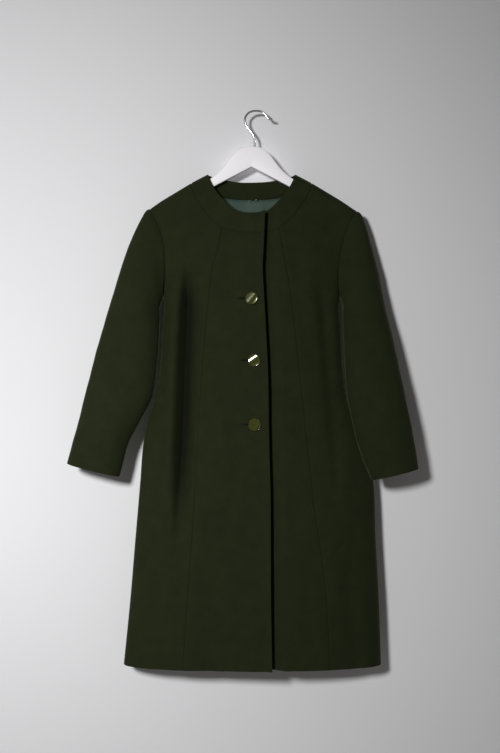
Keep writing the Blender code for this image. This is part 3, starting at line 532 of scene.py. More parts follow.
def clothWall(node, points, edges, outward, closed=False, wall=form["wall"], inset=0.0,
              lift=None, materials=(woolCloth,), insideKinds=None, shade=None):
    # points is a grid of the outer face. edges names the finish of row 0, the last row, column 0
    # and the last column. The inner face and the edges close the wall.
    name = "cloth_" + node
    normals = normalsOf(points, closed)
    middle = (points.shape[0] // 2, points.shape[1] // 2)
    if np.dot(normals[middle], outward) < 0:
        normals = -normals
    down, over = lengthsAlong(points, 0), lengthsAlong(points, 1)
    distances = [down, down[-1:] - down]
    if not closed:
        distances += [over, over[:, -1:] - over]
    raised = np.zeros(points.shape[:2]) if lift is None else lift.copy()
    tuck = np.zeros(points.shape[:2])
    rounding = wall * wallEdge["rounding"]
    for kind, distance in zip(edges, distances):
        depth, width = seams[kind]
        raised -= depth * np.exp(-((distance / width) ** 2))
        near = np.clip(1 - distance / rounding, 0, 1)
        tuck = np.maximum(tuck, rounding * (1 - np.sqrt(np.maximum(1 - near**2, 0))))
    outer = points + normals * (raised - inset - tuck)[..., None]
    inner = points + normals * (raised * wallEdge["innerFollows"] - inset - wall + tuck)[..., None]
    rows, columns = points.shape[:2]
    vertices = np.concatenate([outer.reshape(-1, 3), inner.reshape(-1, 3)])
    index = np.arange(rows * columns).reshape(rows, columns)
    right = np.roll(index, -1, axis=1) if closed else index
    a, b = (index, right) if closed else (index[:, :-1], index[:, 1:])
    quads = np.stack([a[:-1], b[:-1], b[1:], a[1:]], axis=-1).reshape(-1, 4)
    count = rows * columns
    rims = [(a[0], b[0]), (b[-1], a[-1])]
    if not closed:
        first, last = index[:, 0], index[:, -1]
        rims += [(first[1:], first[:-1]), (last[:-1], last[1:])]
    rims = [np.stack([one, one + count, other + count, other], axis=-1) for one, other in rims]
    faces = np.concatenate([quads, quads[:, ::-1] + count, *rims])
    probe = quads[len(quads) // 2]
    facing = np.cross(vertices[probe[1]] - vertices[probe[0]], vertices[probe[3]] - vertices[probe[0]])
    if np.dot(facing, normals.reshape(-1, 3)[probe[0]]) < 0:
        faces = faces[:, ::-1]
    mesh = bpy.data.meshes.new(name)
    mesh.from_pydata(vertices.tolist(), [], faces.tolist())
    kinds = np.zeros(len(faces), int)
    if insideKinds is not None:
        kinds[len(quads):2 * len(quads)] = insideKinds(down, over).ravel()
    for finish in materials:
        mesh.materials.append(finish)
    mesh.polygons.foreach_set("material_index", kinds.astype(np.int32))
    flat = np.stack([over, down], axis=-1).reshape(-1, 2)
    flat = np.concatenate([flat, flat])
    corners = np.empty(len(mesh.loops), np.int32)
    mesh.loops.foreach_get("vertex_index", corners)
    layer = mesh.uv_layers.new(name="cloth")
    layer.data.foreach_set("uv", flat[corners].astype(np.float32).ravel())
    # painted shade: the shade grid is kept on both faces' points, and the wool darkens its colour by it
    if shade is not None:
        paintedFoldShade = mesh.attributes.new("paintedFoldShade", "FLOAT", "POINT")
        paintedFoldShade.data.foreach_set("value", np.tile(shade.ravel(), 2).astype(np.float32))
    mesh.update()
    mesh.shade_smooth()
    piece = addObject(name, mesh)
    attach(piece, "root")
    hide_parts(node)
    loop = np.concatenate([points, points[:, :1]], axis=1) if closed else points
    widest = float(np.linalg.norm(np.diff(loop, axis=1), axis=-1).sum(axis=1).max())
    sides = loop[1:, :-1] - loop[:-1, :-1], loop[:-1, 1:] - loop[:-1, :-1]
    flat = round(widest, 3), round(float(down[-1].max()), 3)


front = {"rows": 120, "upperRows": 18, "columns": 30, "width": 0.13, "facingWidth": 0.085,
         "hemDepth": 0.034, "hemStep": 0.009, "upperReach": 0.93}


def hemRows(count):
    # Heights from the hem to the underarm, close together at the hem
    near = np.append(edgeSteps, front["hemStep"])
    rest = np.linspace(form["hem"] + near[-1], form["underarm"], count)[1:]
    return np.concatenate([form["hem"] + near, rest])


def hemAndLining(down, over):
    # Inner face: the wool turned up at the hem, and the lining above it
    return ((down[:-1, 1:] + down[1:, 1:]) / 2 > front["hemDepth"]).astype(int)


def frontGrid(side):
    t = spaced(front["width"], front["columns"])[None, :]
    z = hemRows(front["rows"])[:, None]
    lower = frontPoints(side, mix(princessX(side, z), frontEdgeX(side, z), t), z)
    # Above the underarm the rows close up on the band's seam
    up = np.concatenate([np.linspace(0, front["upperReach"], front["upperRows"])[1:],
                         1 - edgeSteps[::-1] / front["width"]])[:, None]
    line = bandSeam[side]
    top = along(line, mix(princessPlace[side], lapEnd(side, line), t[0]))
    first, last = top[0], top[-1]
    innerX = princessX(side, mix(form["underarm"], first[1], up))
    z = mix(form["underarm"], top[:, 1][None, :], up)
    spread = (top[:, 0][None, :] - mix(first[0], last[0], t)) * up
    x = mix(innerX, frontEdgeX(side, z), t) + spread
    return np.concatenate([lower, frontPoints(side, x, z)])


def frontInside(down, over):
    # The same, with the wool facing along the front edge
    fromEdge = (over[:, -1:] - over)[:-1, 1:]
    return hemAndLining(down, over) * (fromEdge > front["facingWidth"])


sideWords = {-1: "right", 1: "left"}
bothCloths = (woolCloth, liningSatin)
ahead = (0, -1, 0)
for side, word in sideWords.items():
    clothWall(word + "_front", frontGrid(side), ("turned", "sewn", "pressed", "turned"), ahead,
              materials=bothCloths, insideKinds=frontInside)


# Painted shade at the deep fold's foot, darkening the wool's colour: moved sideways from the fold, full
# at this depth, with this power
sideFront = {"rows": 120, "cornerRows": 16, "upperRows": 26, "columns": 64, "width": 0.11,
             "shadeShift": 0.004, "shadeDepth": 0.026, "shadePower": 1.4}


def sideFrontGrid(side):
    t = spaced(sideFront["width"], sideFront["columns"])[None, :]
    z = hemRows(sideFront["rows"])[:, None]
    inner, outer = princessX(side, z), sideX(side, z)
    x = outer * np.sin(mix(np.arcsin(inner / outer), math.pi / 2, t))
    lower = frontPoints(side, x, z)
    # From the underarm to the shoulder line, closer and closer, with one row where the seams meet
    corner = float(level(*princessLine[side][0]))
    upper = corner * (1 - np.linspace(0, 1, sideFront["upperRows"])[1:]) ** 2
    levels = np.concatenate([np.linspace(1.0, corner, sideFront["cornerRows"])[1:], upper])
    onSeam = lineAtLevel(princessLine[side], np.maximum(levels, corner))[0]
    onBand = lineAtLevel(bandSeam[side][:halfSeam + 1], np.minimum(levels, corner))[0]
    inner = np.where(levels >= corner, onSeam, onBand)[:, None]
    outer = lineAtLevel(form["armhole"][side], levels)[0][:, None]
    x = outer * np.sin(mix(np.arcsin(inner / outer), math.pi / 2, t))
    z = mix(shoulderZ(x), form["underarm"], levels[:, None])
    return np.concatenate([lower, frontPoints(side, x, z)])


for side, word in sideWords.items():
    points = sideFrontGrid(side)
    # painted shade for the wool's colour, from the depth of the fold beside each point
    deep = foldDepth("front", points[..., 0] + sideFront["shadeShift"], points[..., 2])
    clothWall(word + "_side_front", points, ("turned", "pressed", "pressed", "sewn"), ahead,
              materials=bothCloths, insideKinds=hemAndLining,
              shade=ease(deep / sideFront["shadeDepth"]) ** sideFront["shadePower"])
print("fronts are made")


back = {"rows": 120, "upperRows": 30, "innerColumns": 46, "outerColumns": 22, "width": 0.12,
        "upperPower": 1.6, "topLevels": (0.012, 0.006, 0.003, 0.001, 0.0)}


def backShares():
    corner = form["backSeam"][-1][0] / form["shoulderHalf"]
    inner = corner * np.linspace(-1, 1, back["innerColumns"])
    turned = np.sin(mix(math.asin(corner), math.pi / 2, spaced(back["width"], back["outerColumns"])))
    outer = np.unique(np.round(turned, 9))
    outer = outer[outer > corner + 1e-6]
    return np.concatenate([-outer[::-1], inner, outer]), corner


def neckZ(line, out):
    # Height of one of the back neck's lines at a distance from the middle
    return atHeight([(-distance, z) for distance, z in form[line]], -out)[0]


def backNeckZ(x):
    out = np.abs(x - centre)
    return np.where(out >= form["backSeam"][-1][0], shoulderZ(x), neckZ("backSeam", out))


def backPlaces(share, levels, corner):
    # x and z on the back above the underarm
    reachRight = lineAtLevel(form["armhole"][-1], levels)[0]
    reachLeft = lineAtLevel(form["armhole"][1], levels)[0]
    reach = np.where(share < 0, -reachRight[:, None], reachLeft[:, None])
    size = np.abs(share)
    sign = np.where(share < 0, -1, 1)
    move = centre + sign * (form["backSeam"][-1][0] - corner * reach)
    near = np.minimum(size / corner, (1 - size) / (1 - corner))
    middle = centre * np.maximum(1 - size / corner, 0.0)
    x = share * reach + (move * near + middle) * (1 - levels[:, None]) ** 2
    return x, levels[:, None]


def backGrid():
    share, corner = backShares()
    share = share[None, :]
    z = hemRows(back["rows"])[:, None]
    reach = np.where(share < 0, -sideX(-1, z), sideX(1, z))
    lower = bodyPoints("back", share * reach, z)
    levels = (1 - np.linspace(0, 1, back["upperRows"])[1:]) ** back["upperPower"]
    levels = np.concatenate([levels[:-1], back["topLevels"]])
    x, levels = backPlaces(share, levels, corner)
    return np.concatenate([lower, bodyPoints("back", x, mix(backNeckZ(x), form["underarm"], levels))])


behind = (0, 1, 0)
clothWall("back", backGrid(), ("turned", "sewn", "pressed", "pressed"), behind,
          materials=bothCloths, insideKinds=hemAndLining)
print("back is made")


band = {"rows": 10, "columns": 56, "backColumns": 60, "width": 0.041, "backWidth": 0.040,
        "length": 0.24, "shoulderShare": 0.4}


def bandGrid(side):
    t = spaced(band["width"], band["rows"])[:, None]
    ends = spaced(band["length"], band["columns"])
    # Closer together over the shoulder's fold
    share = mix(ends**2, ends, ease(ends / band["shoulderShare"]))
    seamLine, edgeLine = bandSeam[side], neckEdge[side]
    seam = along(seamLine, share * lapEnd(side, seamLine))
    edge = along(edgeLine, share * lapEnd(side, edgeLine))
    x = mix(seam[:, 0], edge[:, 0], t)
    z = mix(seam[:, 1], edge[:, 1], t)
    z[:, 0] = shoulderZ(x[:, 0])
    return frontPoints(side, x, z)


def backBandPoints(share, t):
    # Between the back band's seam and its edge
    seamX = centre + form["backSeam"][-1][0] * share
    edgeX = centre + form["neckHalf"] * share
    edgeZ = neckZ("backEdge", np.abs(edgeX - centre))
    return bodyPoints("back", mix(seamX, edgeX, t), mix(backNeckZ(seamX), edgeZ, t))


for side, word in sideWords.items():
    clothWall("neckband_" + word, bandGrid(side), ("sewn", "turned", "pressed", "turned"), ahead)
points = backBandPoints(np.sin(np.linspace(-1, 1, band["backColumns"]) * math.pi / 2),
                        spaced(band["backWidth"], band["rows"])[:, None])
clothWall("neckband_back", points, ("sewn", "turned", "pressed", "pressed"), behind)
print("neckband is made")


sleeve = {
    # outer edge (x, z), inner edge (x, z), y of the middle, half of the depth
    -1: ((-0.2800, -0.3610, -0.1870, -0.3930, -0.004, 0.035),
         (-0.2965, -0.4190, -0.1890, -0.4510, -0.008, 0.035),
         (-0.3125, -0.4790, -0.1940, -0.5110, -0.012, 0.034),
         (-0.3255, -0.5290, -0.2025, -0.5670, -0.015, 0.033),
         (-0.3375, -0.5750, -0.2240, -0.6130, -0.017, 0.032),
         (-0.3530, -0.6350, -0.2480, -0.6610, -0.018, 0.031),
         (-0.3705, -0.7000, -0.2670, -0.7260, -0.018, 0.029)),
    1: ((0.2550, -0.3590, 0.1755, -0.3890, -0.006, 0.035),
        (0.2680, -0.4230, 0.1770, -0.4550, -0.016, 0.035),
        (0.2810, -0.4870, 0.1790, -0.5110, -0.026, 0.033),
        (0.2905, -0.5330, 0.1815, -0.5590, -0.032, 0.031),
        (0.2980, -0.5740, 0.1910, -0.6090, -0.036, 0.030),
        (0.3095, -0.6290, 0.2040, -0.6660, -0.036, 0.030),
        (0.3235, -0.7090, 0.2310, -0.7310, -0.034, 0.029)),
    "power": 2.15,
    "startPull": 0.36,
    "endPull": 0.62,
    "leaves": ((0.55, -0.85), (1.00, 0.04)),
    "forward": 0.38,
    "capRings": 22,
    "rings": 96,
    "columns": 112,
    "capLength": 0.14,
    "headSteps": (0.008, 0.011),
    "cuffFrom": 0.09,
    "cuffSteps": (0.05, 0.03, 0.018, 0.010, 0.005, 0.0017, 0.0),
    "hemDepth": 0.032,
    # height or depth, distance from the armhole's seam, and half-width
    "headRoll": (0.0013, 0.011, 0.0085),
    "underDip": (-0.0012, 0.03, 0.02),
    # the seam under the arm, and a length round the sleeve for each radian
    "seamDip": 0.0007, "seamWidth": 0.0022, "seamFrom": 0.004, "seamOver": 0.01, "girth": 0.045,
    # creases fade round the side over faceOver, and the unevenness grows from the armhole
    "highFrom": 0.35, "faceOver": 0.02, "waveStretch": 1.5, "waveFrom": 0.02, "waveOver": 0.06,
    "tucked": 0.0016,
}
# Level below the shoulder line at even steps round the armhole, from the underarm to the top
armholeLevels = {side: (1.0, 0.87, 0.74, 0.60, float(level(*princessLine[side][0])), 0.36, 0.26, 0.17,
                        0.09, 0.04, 0.012, 0.0) for side in (-1, 1)}

# Soft creases on the sleeves: side, face (-1 front, 1 back), x and z of both ends, half-width, depth
sleeveCreases = (
    (-1, -1, -0.215, -0.420, -0.290, -0.560, 0.022, 0.0030),
    (-1, -1, -0.262, -0.520, -0.222, -0.560, 0.012, 0.0014),
    (-1, 1, -0.215, -0.500, -0.300, -0.540, 0.016, 0.0022),
    (1, -1, 0.205, -0.400, 0.262, -0.560, 0.018, 0.0026),
    (1, -1, 0.190, -0.520, 0.250, -0.600, 0.014, 0.0020),
    (1, 1, 0.200, -0.500, 0.280, -0.545, 0.016, 0.0022),
)


def sleeveSection(side, place, angle):
    # Angle 0 is the top edge, a quarter turn is the front and a half turn is the underarm
    outerX, outerZ, innerX, innerZ, middleY, depth = np.moveaxis(along(sleeve[side], place), -1, 0)
    power = 2 / sleeve["power"]
    across = np.sign(np.cos(angle)) * np.abs(np.cos(angle)) ** power
    forward = np.sign(np.sin(angle)) * np.abs(np.sin(angle)) ** power
    x = (outerX + innerX) / 2 + (outerX - innerX) / 2 * across
    z = (outerZ + innerZ) / 2 + (outerZ - innerZ) / 2 * across
    return np.stack([x, middleY - depth * forward, z], axis=-1)


def sleeveGrid(side):
    steps = len(armholeLevels[side]) - 1
    column = np.arange(sleeve["columns"]) * (2 * steps / sleeve["columns"])
    angle = math.pi * (1 - column / steps)
    rising = np.minimum(column, 2 * steps - column)
    wanted = along([(value,) for value in armholeLevels[side]], rising)[..., 0]
    x, z = lineAtLevel(form["armhole"][side], np.clip(wanted, 0, 1))
    start = np.where((column <= steps)[:, None], bodyPoints("front", x, z), bodyPoints("back", x, z))
    end = sleeveSection(side, np.zeros_like(angle), angle)
    length = np.linalg.norm(end - start, axis=-1, keepdims=True)
    high = (1 + np.cos(angle)) / 2
    (outLow, upLow), (outTop, upTop) = sleeve["leaves"]
    leave = np.stack([side * mix(outLow, outTop, high), -sleeve["forward"] * np.sin(angle),
                      mix(upLow, upTop, high)], axis=-1)
    leave /= np.linalg.norm(leave, axis=-1, keepdims=True)
    start = start - leave * sleeve["tucked"]
    leave *= length * sleeve["startPull"]
    onward = sleeveSection(side, np.full_like(angle, 0.1), angle) - end
    onward *= length * sleeve["endPull"] / np.linalg.norm(onward, axis=-1, keepdims=True)
    near = np.append(edgeSteps, sleeve["headSteps"]) / sleeve["capLength"]
    t = np.concatenate([near, np.linspace(near[-1], 1, sleeve["capRings"])[1:]])[:, None, None]
    cap = smoothRun(t, start, leave, end, onward)
    last = len(sleeve[side]) - 1
    places = np.linspace(0, last - sleeve["cuffFrom"], sleeve["rings"])[1:]
    places = np.concatenate([places, last - np.array(sleeve["cuffSteps"])])
    rest = sleeveSection(side, places[:, None], angle[None, :])
    return np.concatenate([cap, rest]), angle


def sleeveLift(side, points, angle):
    # The rolled head beside the armhole's seam, the seam under the arm, and the soft creases
    down = lengthsAlong(points, 0)
    high = np.clip((np.cos(angle) + sleeve["highFrom"]) / (1 + sleeve["highFrom"]), 0, 1)[None, :]
    lift = 0.0
    for key, share in (("headRoll", high), ("underDip", 1 - high)):
        amount, place, width = sleeve[key]
        lift = lift + amount * share * np.exp(-(((down - place) / width) ** 2))
    middle = points.mean(axis=1, keepdims=True)
    x, z = points[..., 0], points[..., 2]
    for at, face, *ends, width, depth in sleeveCreases:
        if at == side:
            onFace = ease((points[..., 1] - middle[..., 1]) * face / sleeve["faceOver"])
            lift = lift - depth * onFace * creaseAt(x, z, ends, width, *creaseFade["sleeve"])
    for acrossRate, downRate, phase, height in unevenness:
        wave = 2 * math.pi * (x * acrossRate + z * downRate * sleeve["waveStretch"]) + phase + side
        lift = lift + height * np.sin(wave) * ease((down - sleeve["waveFrom"]) / sleeve["waveOver"])
    around = np.abs(np.angle(np.exp(1j * (angle - math.pi))))[None, :] * sleeve["girth"]
    seam = np.exp(-((around / sleeve["seamWidth"]) ** 2))
    return lift - sleeve["seamDip"] * seam * ease((down - sleeve["seamFrom"]) / sleeve["seamOver"])


def sleeveInside(down, over):
    fromCuff = (down[-1:] - down)[:-1]
    return (fromCuff > sleeve["hemDepth"]).astype(int)


for side, word in sideWords.items():
    points, angle = sleeveGrid(side)
    ring = points[len(points) // 2]
    clothWall(word + "_sleeve", points, ("sewn", "turned"), ring[len(ring) // 2] - ring.mean(axis=0),
              closed=True, lift=sleeveLift(side, points, angle), materials=bothCloths,
              insideKinds=sleeveInside)
print("sleeves are made")


inside = {
    "facingDepth": 0.034,
    "facingReach": 0.86,      # of the band's own width
    "facingWall": 0.0014,
    "facingGap": 0.0005,
    "facingColumns": 64, "facingRows": 10,
    "liningColumns": 81, "liningRows": 70, "liningUpperRows": 26,
    "liningHem": -1.073,
    "liningWall": 0.0010,
    "liningGap": 0.0010,
    "liningReach": 0.80,
    "liningNeckSpread": 0.76,
    "liningBelowShoulder": 0.028,
    "seamGap": 0.0003,
    "pleatDepth": 0.0009, "pleatWidth": 0.0055, "pleatFoot": -0.60, "pleatGrows": 0.30,
}


def facingGrid():
    share = inside["facingReach"] * np.linspace(-1, 1, inside["facingColumns"])
    t = spaced(inside["facingDepth"], inside["facingRows"])[:, None]
    depth = form["backEdge"][0][1] - form["backSeam"][0][1]
    return backBandPoints(share, 1 - (1 - t) * inside["facingDepth"] / depth)


def liningGrid():
    share = (inside["liningReach"] * np.linspace(-1, 1, inside["liningColumns"]))[None, :]
    z = np.linspace(inside["liningHem"], form["underarm"], inside["liningRows"])[:, None]
    reach = np.where(share < 0, -sideX(-1, z), sideX(1, z))
    lower = bodyPoints("back", share * reach, z)
    corner = form["backSeam"][-1][0] / form["shoulderHalf"]
    up = np.linspace(0, 1, inside["liningUpperRows"])[1:]
    x, _ = backPlaces(share, 1 - up, corner)
    out = np.minimum(np.abs(x - centre) * inside["liningNeckSpread"], form["neckHalf"])
    under = neckZ("backEdge", out) - inside["facingDepth"] - inside["seamGap"]
    top = np.minimum(under, shoulderZ(x) - inside["liningBelowShoulder"])
    return np.concatenate([lower, bodyPoints("back", x, mix(form["underarm"], top, up[:, None]))])


clothWall("back_facing", facingGrid(), ("turned",) * 4, behind, wall=inside["facingWall"],
          inset=form["wall"] + inside["facingGap"], materials=(woolFacing,))
points = liningGrid()
fromMiddle = np.abs(points[..., 0] - centre)
topEase = ease((points[..., 2] - inside["pleatFoot"]) / inside["pleatGrows"])
pleat = -inside["pleatDepth"] * topEase * np.exp(-((fromMiddle / inside["pleatWidth"]) ** 2))
clothWall("back_lining", points, ("turned",) * 4, behind, wall=inside["liningWall"],
          inset=form["wall"] + inside["liningGap"], lift=pleat, materials=(liningSatin,))
print("facing and lining are made")


# Pieces modelled with Blender's own tools

def selectOnly(piece):
    bpy.ops.object.select_all(action="DESELECT")
    bpy.context.view_layer.objects.active = piece
    piece.select_set(True)


def addStart(operator, **settings):
    # Adds a primitive with nothing else selected
    bpy.ops.object.select_all(action="DESELECT")
    operator(**settings)
    return bpy.context.object


def pickFaces(piece, test):
    # In edit mode, selects only the faces whose middle and normal pass the test
    bpy.ops.object.mode_set(mode="EDIT")
    bpy.ops.mesh.select_mode(type="FACE")
    bpy.ops.mesh.select_all(action="DESELECT")
    bpy.ops.object.mode_set(mode="OBJECT")
    for face in piece.data.polygons:
        face.select = test(face.center, face.normal)
    bpy.ops.object.mode_set(mode="EDIT")


def applyModifier(piece, kind, **settings):
    modifier = piece.modifiers.new("shape", kind)
    for key, value in settings.items():
        setattr(modifier, key, value)
    selectOnly(piece)
    bpy.ops.object.modifier_apply(modifier=modifier.name)


def cutTogether(piece, other, operation):
    applyModifier(piece, "BOOLEAN", operation=operation, object=other, solver="EXACT")
    bpy.data.objects.remove(other)


def joinPieces(pieces):
    bpy.ops.object.select_all(action="DESELECT")
    for piece in pieces:
        piece.select_set(True)
    bpy.context.view_layer.objects.active = pieces[0]
    bpy.ops.object.join()
    return bpy.context.object


def movedCopy(piece, move):
    made = addObject(piece.name, piece.data.copy())
    made.data.transform(move)
    return made


def sweepLine(name, points, steps, radius, resolution, roundedSteps=0):
    # A round rod along a smooth line through points, with its start rounded over a few steps
    curve = bpy.data.curves.new(name, "CURVE")
    curve.dimensions = "3D"
    curve.bevel_depth = radius
    curve.bevel_resolution = resolution
    curve.use_fill_caps = True
    run = curve.splines.new("POLY")
    run.points.add(steps)
    for step, place in enumerate(np.linspace(0, len(points) - 1, steps + 1)):
        run.points[step].co = (*along(points, place), 1.0)
        if step < roundedSteps:
            run.points[step].radius = math.sqrt(1 - (1 - step / roundedSteps) ** 2 * 0.96)
    selectOnly(addObject(name, curve))
    bpy.ops.object.convert(target="MESH")
    return bpy.context.object


def finishPiece(piece, name, finish, angle, node=None):
    selectOnly(piece)
    bpy.ops.object.transform_apply(location=True, rotation=True, scale=True)
    bpy.ops.object.shade_smooth_by_angle(angle=math.radians(angle))
    piece.name = name
    piece.data.name = name
    piece.data.materials.clear()
    piece.data.materials.append(finish)
    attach(piece, "root")
    if node:
        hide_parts(node)


def clothFrame(x, z):
    # A place on the right front's outer face, and the direction out of the cloth
    step = 0.002
    here, right, left, up, down = (
        Vector(frontPoints(-1, x + across * step, z + rise * step))
        for across, rise in ((0, 0), (1, 0), (-1, 0), (0, 1), (0, -1)))
    outward = (right - left).cross(up - down).normalized()
    return here, outward if outward.y < 0 else -outward


# Buttons: a raised rim round a low dome, which slanting grooves cut into ribs
button = {
    "places": ((-0.0050, -0.3750), (0.0000, -0.4960), (0.0008, -0.6220)),
    "leans": ((-0.046, 0.034), (-0.052, -0.067), (0.010, -0.020)),    # of the face, along x and z
    "turns": (50.0, 35.0, 130.0),                         # of the ribs, about the button's middle
    "radius": 0.0124, "back": 0.0006, "top": 0.0042, "rim": 0.0014, "dish": 0.0011,
    "backShare": 0.80, "rounding": 0.00065,
    "domeRadius": 0.0250, "domeTop": 0.0044, "domeFoot": 0.0002, "domeGap": 0.0003,
    "grooves": (-0.0072, -0.0024, 0.0024, 0.0072), "grooveWidth": 0.0007, "grooveDepth": 0.00084,
    "shank": 0.0012, "shankTop": 0.0010, "shankLength": 0.0060, "lift": 0.0006,
    "dark": rgb(0.026, 0.028, 0.004), "light": rgb(0.088, 0.094, 0.016),
    "marble": 260.0, "fleck": 1400.0, "marbleHeight": 0.00010,
    "finish": {"Metallic": 0.20, "Coat Weight": 0.45, "Coat Roughness": 0.10,
               "Specular IOR Level": 0.6},
}


def makeButtonFinish():
    graph = Graph("buttonGloss", button["finish"])
    here = graph.place()
    marble = graph.noise(here, button["marble"], 3.0, 0.6)
    fleck = graph.noise(here, button["fleck"], 2.0)
    mask = graph.mask(marble * 0.75 + fleck * 0.25, 0.22, 0.78)
    graph.feed("Base Color", graph.blend(mask, button["dark"], button["light"]))
    graph.feed("Roughness", fleck * 0.10 + 0.13)
    graph.feed("Normal", graph.bump(marble, button["marbleHeight"], 0.35))
    return graph.material


def makeButton():
    height = button["top"] - button["back"]
    disc = addStart(bpy.ops.mesh.primitive_cylinder_add, vertices=96, radius=button["radius"],
                    depth=height, location=(0, 0, button["back"] + height / 2))
    bpy.ops.object.transform_apply(location=True, rotation=True, scale=True)
    pickFaces(disc, lambda middle, normal: normal.z < -0.9)
    bpy.ops.transform.resize(value=(button["backShare"], button["backShare"], 1.0))
    pickFaces(disc, lambda middle, normal: normal.z > 0.9)
    bpy.ops.mesh.inset(thickness=button["rim"], depth=0)
    bpy.ops.transform.translate(value=(0, 0, -button["dish"]))
    bpy.ops.object.mode_set(mode="OBJECT")
    applyModifier(disc, "BEVEL", width=button["rounding"], segments=4, limit_method="ANGLE",
                  angle_limit=math.radians(30))
    # Ribs: the top of one wide rod, trimmed to the dish and cut by grooves
    rod, top, tall = button["domeRadius"], button["domeTop"], 0.0040
    reach = button["radius"] - button["rim"] - button["domeGap"]
    foot = button["top"] - button["dish"] - button["domeFoot"]
    ribs = addStart(bpy.ops.mesh.primitive_cylinder_add, vertices=256, radius=rod, depth=rod * 1.2,
                    location=(0, 0, top - rod), rotation=(0, math.pi / 2, 0))
    trim = addStart(bpy.ops.mesh.primitive_cylinder_add, vertices=96, radius=reach, depth=tall,
                    location=(0, 0, foot + tall / 2))
    cutTogether(ribs, trim, "INTERSECT")
    for across in button["grooves"]:
        surface = top - rod + math.sqrt(rod * rod - across * across)
        cutter = addStart(bpy.ops.mesh.primitive_cube_add, size=1.0, location=(0, across, surface),
                          rotation=(math.pi / 4 - math.asin(across / rod), 0, 0),
                          scale=(rod * 1.2, button["grooveWidth"], button["grooveDepth"]))
        cutTogether(ribs, cutter, "DIFFERENCE")
    shank = addStart(bpy.ops.mesh.primitive_cylinder_add, vertices=24, radius=button["shank"],
                     depth=button["shankLength"],
                     location=(0, 0, button["shankTop"] - button["shankLength"] / 2))
    return joinPieces([disc, ribs, shank])


def placeFacing(spot, facing, turn):
    # Moves a piece that faces +Z to a spot, to face another way, turned about its own middle first
    faced = facing.to_track_quat("Z", "Y").to_matrix().to_4x4()
    return Matrix.Translation(spot) @ faced @ Matrix.Rotation(turn, 4, "Z")


buttonGloss = makeButtonFinish()
master = makeButton()
for number, (x, z) in enumerate(button["places"]):
    here, outward = clothFrame(x, z)
    leanX, leanZ = button["leans"][number]
    move = placeFacing(here + outward * button["lift"], Vector((leanX, -1, leanZ)),
                       math.radians(button["turns"][number]))
    finishPiece(movedCopy(master, move), "shank_button_%d" % (number + 1), buttonGloss, 40.0,
                "button_%d" % (number + 1))
bpy.data.objects.remove(master)
print("buttons are made")


# Buttonholes: a slit in the right front, worked all round with small close stitches
buttonhole = {
    "length": 0.0280, "inner": 0.0022, "gap": 0.0009, "cutDepth": 0.012,
    "stitchSpacing": 0.00078, "stitchLength": 0.0019, "thread": 0.00036,
    "plainShare": 0.7, "endWidth": 0.45, "overlap": 0.42, "lift": 0.00008, "fan": (-60, -30, 0, 30, 60),
    "dark": rgb(0.0050, 0.0072, 0.0028), "light": rgb(0.0100, 0.0135, 0.0056),
    "strands": 2600.0, "strandHeight": 0.00005,
    "finish": {"Roughness": 0.75, "Specular IOR Level": 0.2},
}


def makeThreadFinish(name, dark, light, finish):
    graph = Graph(name, finish)
    here = graph.place()
    strand = graph.noise(here, buttonhole["strands"], 2.0)
    graph.feed("Base Color", graph.blend(strand, dark, light))
    graph.feed("Normal", graph.bump(strand, buttonhole["strandHeight"], 0.6))
    return graph.material


silkThread = makeThreadFinish("silkThread", buttonhole["dark"], buttonhole["light"],
                              buttonhole["finish"])


def makeStitch():
    # A short rod of thread, thicker in its middle, lying across +Y
    plain = buttonhole["stitchLength"] * buttonhole["plainShare"]
    narrowing = buttonhole["thread"] * math.cos(math.pi / 6) * (1 - buttonhole["endWidth"])
    stitch = addStart(bpy.ops.mesh.primitive_cylinder_add, vertices=6, radius=buttonhole["thread"],
                      depth=plain, rotation=(math.pi / 2, 0, 0))
    bpy.ops.object.transform_apply(location=True, rotation=True, scale=True)
    for way in (-1, 1):
        pickFaces(stitch, lambda middle, normal: normal.y * way > 0.9)
        bpy.ops.mesh.inset(thickness=narrowing, depth=(buttonhole["stitchLength"] - plain) / 2)
        bpy.ops.object.mode_set(mode="OBJECT")
    return stitch


def stitchPlaces():
    # Round the slit: along both sides, and fanned over both ends
    length = buttonhole["length"]
    reach = buttonhole["gap"] / 2 + buttonhole["stitchLength"] * buttonhole["overlap"]
    count = int(length / buttonhole["stitchSpacing"])
    places = [((k / count - 0.5) * length, side * reach, 0.0)
              for side in (-1, 1) for k in range(count + 1)]
    for end in (-1, 1):
        for turn in np.radians(buttonhole["fan"]):
            places.append((end * (length / 2 + math.cos(turn) * reach), math.sin(turn) * reach,
                           math.pi / 2 + end * turn))
    return places


stitch = makeStitch()
rightFront = bpy.data.objects["cloth_right_front"]
for number, (x, z) in enumerate(button["places"], 1):
    middleX = x + buttonhole["inner"] - buttonhole["length"] / 2
    here, outward = clothFrame(middleX, z)
    slit = addStart(bpy.ops.mesh.primitive_cylinder_add, vertices=32, radius=0.5,
                    depth=buttonhole["cutDepth"], location=here, rotation=(math.pi / 2, 0, 0),
                    scale=(buttonhole["length"], buttonhole["gap"], 1.0))
    cutTogether(rightFront, slit, "DIFFERENCE")
    stitches = []
    for across, up, turn in stitchPlaces():
        spot, normal = clothFrame(middleX + across, z + up)
        stitches.append(movedCopy(stitch, placeFacing(spot + normal * buttonhole["lift"], normal, turn)))
    finishPiece(joinPieces(stitches), "buttonhole_%d" % number, silkThread, 60.0)
bpy.data.objects.remove(stitch)
print("buttonholes are worked")


